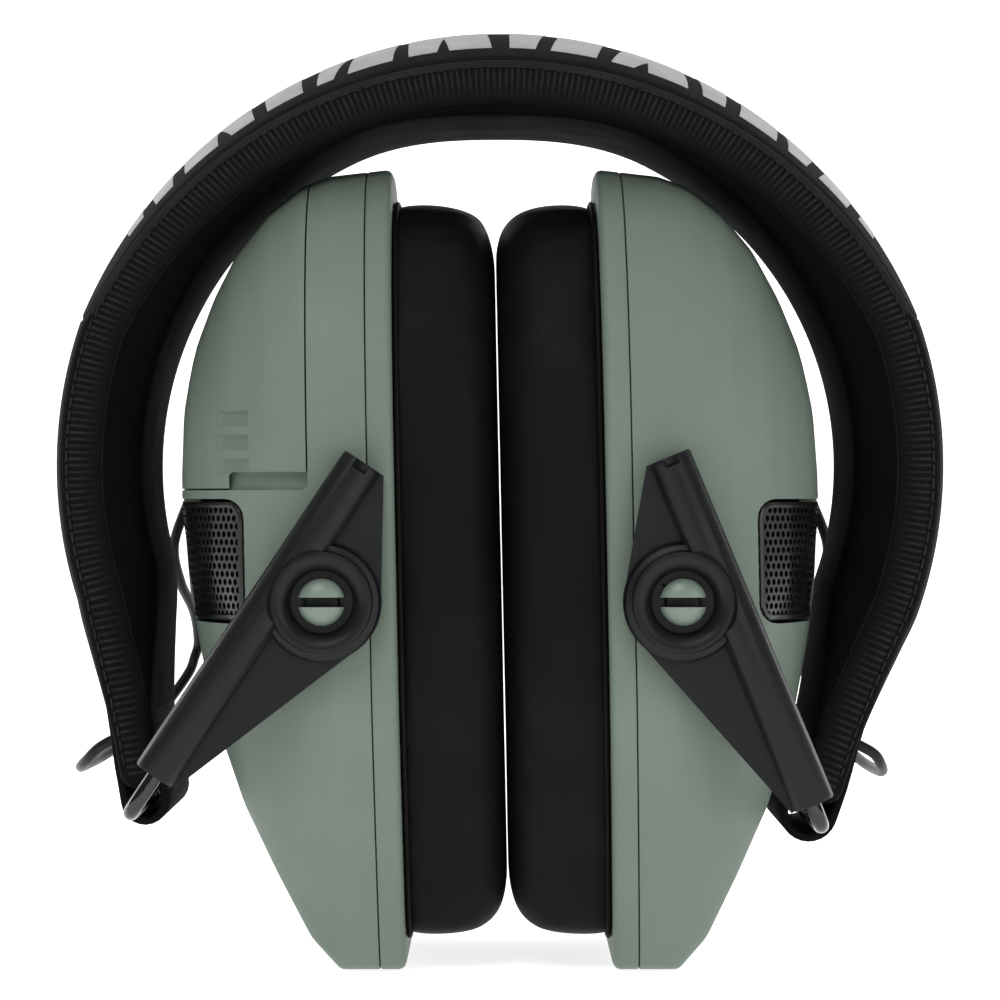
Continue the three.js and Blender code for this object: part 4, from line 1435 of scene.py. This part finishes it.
def make_grille_border(side):
    """The plain rounded border round the perforated plate."""
    low, high = GRILLE_Z
    radius, steps, spacing = 2.4, 8, 0.8
    s_low, s_high, z_low, z_high = 0.15, GRILLE_REACH + 0.6, low + 0.15, high - 0.15
    border = []
    for cs, cz, begin in ((s_high - radius, z_high - radius, 0),
                          (s_low + radius, z_high - radius, 90),
                          (s_low + radius, z_low + radius, 180),
                          (s_high - radius, z_low + radius, 270)):
        for i in range(steps + 1):
            angle = math.radians(begin + 90 * i / steps)
            border.append((cs + radius * math.cos(angle), cz + radius * math.sin(angle)))
    dense = []
    for (s0, z0), (s1, z1) in zip(border, border[1:] + border[:1]):
        count = max(1, int(math.dist((s0, z0), (s1, z1)) / spacing))
        dense += [(s0 + (s1 - s0) * i / count, z0 + (z1 - z0) * i / count) for i in range(count)]
    section = [(0.0, 0.55), (0.05, 0.2), (0.3, 0.05), (0.7, 0.12), (0.85, 0.4), (0.85, 0.9),
               (0.0, 0.9)]
    rings = []
    for k, (s, z) in enumerate(dense):
        (s0, z0), (s1, z1) = dense[k - 1], dense[(k + 1) % len(dense)]
        length = math.hypot(s1 - s0, z1 - z0)
        in_s, in_z = (z0 - z1) / length, (s1 - s0) / length
        rings.append([grille_surface(s + in_s * step, z + in_z * step, depth)
                      for step, depth in section])
    border = make(f"{side}_grille_border", *place(side, *ring_skin(rings)), GRILLE, sharp=50)
    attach(border, f"{side}_cup")


def make_grille_felt(side):
    """The dark felt behind the holes."""
    low, high = GRILLE_Z
    rows, columns = 6, 12
    front, rear = ([grille_surface(s, z, depth) for z in np.linspace(low + 0.5, high - 0.5, rows)
                    for s in np.linspace(0.6, GRILLE_REACH, columns)] for depth in (1.3, 1.9))
    points, faces = slab(front, rear, rows, columns)
    felt = make(f"{side}_grille_felt", *place(side, points, faces), STRAP,
                uvs=[(p[0], p[2]) for p in points], sharp=50)
    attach(felt, f"{side}_cup")


# ---------------------------------------------------------------- arms, wires and studs
ARM_Y = 38.8
WEB = 2.2
TUBE_DEPTH, TUBE_HALF = 4.8, 3.0
TUBE_UP, TUBE_DOWN = 17.9, 30.3
BOSS = 7.7
WIRE_Y = ARM_Y + TUBE_DEPTH / 2
WIRE_RADIUS, WIRE_BORE, WIRE_BEND = 1.0, 1.12, 3


def arm_frame(side, y_sign, splay):
    """Maps the frame of an arm that hangs straight down, splayed by an angle, into the row
    frame."""
    sign = SIGN[side]
    turn = math.radians(-sign * splay)
    c, s = math.cos(turn), math.sin(turn)

    def put(points, faces):
        moved = []
        for x, y, z in points:
            x, y = sign * x, y_sign * y
            moved.append((x * c + z * s + pivot_x(side), y, -x * s + z * c + PIVOT_Z))
        return moved, turned(faces, sign * y_sign)

    return put


def prism(outline_xz, low_y, high_y):
    return loft([[(x, low_y, z) for x, z in outline_xz], [(x, high_y, z) for x, z in outline_xz]])


def tangent(x, z, sense):
    return math.atan2(z, x) + sense * math.acos(BOSS / math.hypot(x, z))


def arm_parts():
    """The web, the wire's tube and the dished boss of one arm, hanging straight down."""
    inner, outer = TUBE_OFFSET - TUBE_HALF, TUBE_OFFSET + TUBE_HALF
    lower, upper = tangent(inner, -TUBE_DOWN, -1), tangent(inner, TUBE_UP, 1)
    web = [(outer - 1, TUBE_UP - 0.4), (outer - 1, -TUBE_DOWN + 0.6), (inner, -TUBE_DOWN)]
    for i in range(25):
        angle = lower + (upper - 2 * math.pi - lower) * i / 24
        web.append(((BOSS - 0.1) * math.cos(angle), (BOSS - 0.1) * math.sin(angle)))
    web.append((inner, TUBE_UP))
    plate = prism(web, ARM_Y, ARM_Y + WEB)
    # The barrel's section from its middle line and the arm's face.
    section = [(-2.1, 0.02), (-2.65, 1.6), (-2.55, 3.1), (-1.8, 4.3), (-0.8, 4.75), (0.2, 4.8),
               (1.3, 4.5), (2.4, 3.7), (2.9, 2.4), (2.9, 0.7), (2.3, 0)]
    barrel = loft([[(TUBE_OFFSET + x * shrink, ARM_Y + y * shrink, z) for x, y in section]
                   for z, shrink in ((-TUBE_DOWN, 0.96), (-TUBE_DOWN + 0.4, 1.0),
                                     (TUBE_UP - 0.4, 1.0), (TUBE_UP, 0.96))])
    bowl = [(6.45, 4.05), (6.1, 4.15), (5.3, 3.95), (4.7, 3.5), (4.2, 2.6), (4.0, 1.4), (0, 1.4)]
    boss = lathe([(0, 0.02), (BOSS, 0.02), (BOSS, 3.0), (BOSS - 0.35, 3.45), (6.75, 3.6),
                  (6.6, 3.75)] + bowl, (0, ARM_Y, 0), (0, 1, 0), 64)
    # The dish is cut a hair under the bowl, so that no sliver of the barrel stays in it.
    dish = lathe([(r, z - 0.03) for r, z in reversed(bowl)] + [(7.2, 5.2), (7.2, 7), (0, 7)],
                 (0, ARM_Y, 0), (0, 1, 0), 64)
    stud_bore = rod((0, ARM_Y - 1, 0), (0, ARM_Y + 5, 0), 2.4)
    wire_bore = rod((TUBE_OFFSET, WIRE_Y, -TUBE_DOWN - 1), (TUBE_OFFSET, WIRE_Y, TUBE_UP + 1),
                    WIRE_BORE, 24)
    notch = block((TUBE_OFFSET - 1.0, ARM_Y + 3.4, TUBE_UP - 1.2),
                  (TUBE_OFFSET + 1.0, ARM_Y + 6, TUBE_UP + 1))
    mouth = lathe([(0, -0.05), (2.2, -0.05), (1.3, 0.9), (0, 0.9)],
                  (TUBE_OFFSET, WIRE_Y, TUBE_UP + 0.05), (0, 0, -1), 24)
    return plate, (barrel, boss), (dish, stud_bore, wire_bore, notch, mouth)


def build_arm(side, where, y_sign):
    put = arm_frame(side, y_sign, POSTURE[side]["splay"])
    plate, added, cuts = arm_parts()
    name = f"{side}_{where}_arm"
    arm = make(f"{name}_moulding", *put(*plate), BLACK, sharp=35)
    boolean(arm, "UNION", *[put(*part) for part in added], sharp=35)
    boolean(arm, "DIFFERENCE", *[put(*part) for part in cuts], sharp=35)
    soften(arm, 0.28, angle=38)
    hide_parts(name)
    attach(arm, f"{side}_arms")


def build_stud(side, where, y_sign):
    """The pivot stud: a shouldered pin in the cup with a slotted, domed head."""
    upright = arm_frame(side, y_sign, 0)
    head, slot_depth, slot_half = 1.55, 0.4, 0.62
    profile = [(0, -5.8), (3.4, -5.8), (3.4, -4.4), (2.05, -4.2), (2.05, head), (2.95, head),
               (3.05, head + 0.25), (3.05, head + 0.6), (2.9, head + 1.0), (2.5, head + 1.4),
               (1.7, head + 1.75), (0.8, head + 1.92), (0, head + 1.95)]
    body = lathe(profile, (0, ARM_Y, 0), (0, 1, 0), 56)
    stud = make(f"{side}_{where}_pivot_stud", *upright(*body), STUD, BLACK, sharp=35)
    floor_y = ARM_Y + head - slot_depth
    slot = block((-5, floor_y, -slot_half), (5, ARM_Y + head + 4, slot_half))
    boolean(stud, "DIFFERENCE", upright(*slot), sharp=35)
    # painted shade: the floor of the slot takes the black material, though the stud is green
    # throughout
    for face in stud.data.polygons:
        if abs(face.normal.y) > 0.9 and abs(abs(face.center.y) - floor_y * MM) < 0.05 * MM:
            face.material_index = 1
    soften(stud, 0.12, angle=50)
    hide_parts(f"{side}_{where}_stud")
    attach(stud, f"{side}_cup")


def build_wire(side):
    """The sprung wire: two legs in the arms and a crossbar through the strap."""
    put = arm_frame(side, 1, POSTURE[side]["splay"])
    reach, bend, lead_in = POSTURE[side]["reach"], WIRE_BEND, 0.4
    top = TUBE_UP - 4
    path = [(TUBE_OFFSET, -WIRE_Y, z) for z in np.linspace(top, bend + lead_in - reach, 14)]
    for angle in np.linspace(0.15, math.pi / 2 - 0.15, 7):
        path.append((TUBE_OFFSET, -WIRE_Y + bend * (1 - math.cos(angle)),
                     bend - reach - bend * math.sin(angle)))
    path += [(TUBE_OFFSET, y, -reach) for y in np.linspace(-WIRE_Y + bend + lead_in, -0.01, 10)]
    path += [(x, -y, z) for x, y, z in reversed(path[:-1])]
    points, faces, _ = tube(path, WIRE_RADIUS, 16)
    wire = make(f"{side}_bail_wire", *put(points, faces), WIRE, sharp=50)
    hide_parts(f"{side}_wire")
    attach(wire, f"{side}_bail")


# ---------------------------------------------------------------- boots, leads and knob
LEAD_RADIUS = 0.75
LEAD_ROUTES = {
    "left": [(-47.4, 29, 56), (-46.9, 34.5, 50.5), (-45.4, 41, 46), (-45, 44.5, 41.5),
             (-45.6, 44.5, 39), (-46.6, 44.5, 36.5), (-50.2, 41.5, 31.5), (-54.2, 34, 27.8),
             (-57.2, 25, 25.6), (-58.6, 15, 25), (-58.6, 6.5, 25.2), (-57.3, 1, 26.4),
             (-54.9, -1, 28.6), (-50, -1.5, 31)],
    "right": [(47.6, 29, 56), (47.4, 34.5, 50.5), (46, 41, 46), (45.2, 44.5, 41.5),
              (45.3, 44.5, 39), (45.6, 44.5, 36.5), (47.4, 41.5, 31), (49.9, 34, 27.2),
              (52, 25, 25), (53.2, 15, 24.3), (53.4, 6.5, 24.6), (52.8, 1.3, 25.8),
              (51.2, -1, 27.8), (45.5, -1.5, 30.5)],
}


def build_lead(side):
    """A lead in three stretches, each a tube with its transform baked in; the bodies it runs
    between are named but it is tied to none.
    """
    start = leaned(side, boot_point(6.5))
    tip = leaned(side, boot_point(8.3))
    route = smooth_path([start, tip] + LEAD_ROUTES[side], 0.8)
    knots = LEAD_ROUTES[side]

    def nearest(point):
        return int(np.argmin(np.linalg.norm(route - np.asarray(point), axis=1)))

    first, second = nearest(knots[3]), nearest(knots[6])
    arms, bail, cup, band = (f"{side}_{b}" for b in ("arms", "bail", "cup", "side"))
    stretches = [
        (f"{side}_lead_by_cup", route[:first + 1], cup, arms, knots[2], knots[3]),
        (f"{side}_lead_by_arm", route[first:second + 1], arms, bail, knots[3], knots[6]),
        (f"{side}_lead_by_band", route[second:], bail, band, knots[6], knots[10]),
    ]
    for name, path, a, b, begin, end in stretches:
        points, faces, uvs = tube(path, LEAD_RADIUS, 12, ends=False)
        lead = make(name, points, faces, CABLE, sharp=80)
        if name.endswith("by_band"):
            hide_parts(f"{side}_lead")
        [c * MM for c in begin]
        [c * MM for c in end]
        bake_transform(lead)


def build_boot(side):
    """A tapered strain relief with moulded rings."""
    profile = [(0, -2.0), (2.15, -2.0), (2.15, 0.6)]
    for i in range(5):
        d = 0.9 + i * 1.25
        r = 2.1 - 0.11 * d
        profile += [(r, d), (r, d + 0.7), (r - 0.32, d + 0.85), (r - 0.32, d + 1.12)]
    profile += [(1.35, 7.3), (1.3, 7.8), (1.0, 8.0), (0, 8.0)]
    axis = Vector(boot_point(1)) - Vector(boot_point(0))
    points, faces = lathe(profile, boot_point(0), axis, 28)
    boot = make(f"{side}_boot", *place(side, points, faces), CABLE, sharp=40)
    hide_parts(f"{side}_lead_boot")
    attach(boot, f"{side}_cup")


def build_knob():
    """The volume dial with a knurled edge and a pointer groove in its face."""
    base, height, radius, teeth = -1.7, 3.4, KNOB["radius"], 36
    axis = KNOB_AXIS.normalized()
    across = axis.orthogonal().normalized()
    up = axis.cross(across)
    centre = Vector(knob_point(0))
    rings = []
    for along, share, knurl in ((0, 0.9, 0), (0.25, 1.0, 1), (height - 0.6, 1.0, 1),
                                (height - 0.2, 0.97, 0.4), (height, 0.9, 0), (height, 0.6, 0),
                                (height - 0.25, 0.5, 0)):
        ring = []
        for i in range(teeth * 4):
            angle = i / (teeth * 4) * 2 * math.pi
            bite = 0.28 * knurl * (0.5 + 0.5 * math.cos(teeth * angle))
            r = radius * share - bite
            ring.append(tuple(centre + axis * (base + along) + (across * math.cos(angle)
                                                               + up * math.sin(angle)) * r))
        rings.append(ring)
    knob = make("right_knob", *place("right", *loft(rings)), BLACK, sharp=40)
    top = centre + axis * (base + height)
    pointer = Vector((0, -0.4, 1))
    pointer = (pointer - axis * pointer.dot(axis)).normalized()
    groove = rod(top + pointer * 3.4, top + pointer * 7.5, 0.5, 16)
    boolean(knob, "DIFFERENCE", place("right", *groove), sharp=40)
    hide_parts("right_volume_knob")
    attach(knob, "volume_knob")


# ---------------------------------------------------------------- inner pieces
def finish_cad_pieces():
    """The pieces inside the cups keep their CAD shape and take a detailed material."""
    inside = {
        "speaker_plate": INNER_BLACK, "speaker": SPRING, "speaker_foam": FOAM, "microphone": BRASS,
        "battery_1": BATTERY, "battery_2": BATTERY, "battery_spring_1": SPRING,
        "battery_spring_2": SPRING, "battery_contact": BRASS, "battery_tray": INNER_BLACK,
        "volume_control": SPRING, "circuit_board": BOARD, "audio_jack": BLACK,
    }
    for name, node in CAD.items():
        piece = name.removeprefix("left_").removeprefix("right_")
        if piece in inside:
            node.data.materials.clear()
            node.data.materials.append(inside[piece])


# ---------------------------------------------------------------- assembly
for side in SIDES:  # the cloth runs before any other piece is made
    make_cushion(side)
for side in SIDES:
    build_band(side)
    make_shell(side)
    make_rim(side)
    make_grille_mesh(side)
    make_grille_border(side)
    make_grille_felt(side)
    for where, y_sign in (("front", -1), ("rear", 1)):
        build_arm(side, where, y_sign)
        build_stud(side, where, y_sign)
    build_wire(side)
    build_boot(side)
    build_lead(side)
make_door()
build_knob()
finish_cad_pieces()
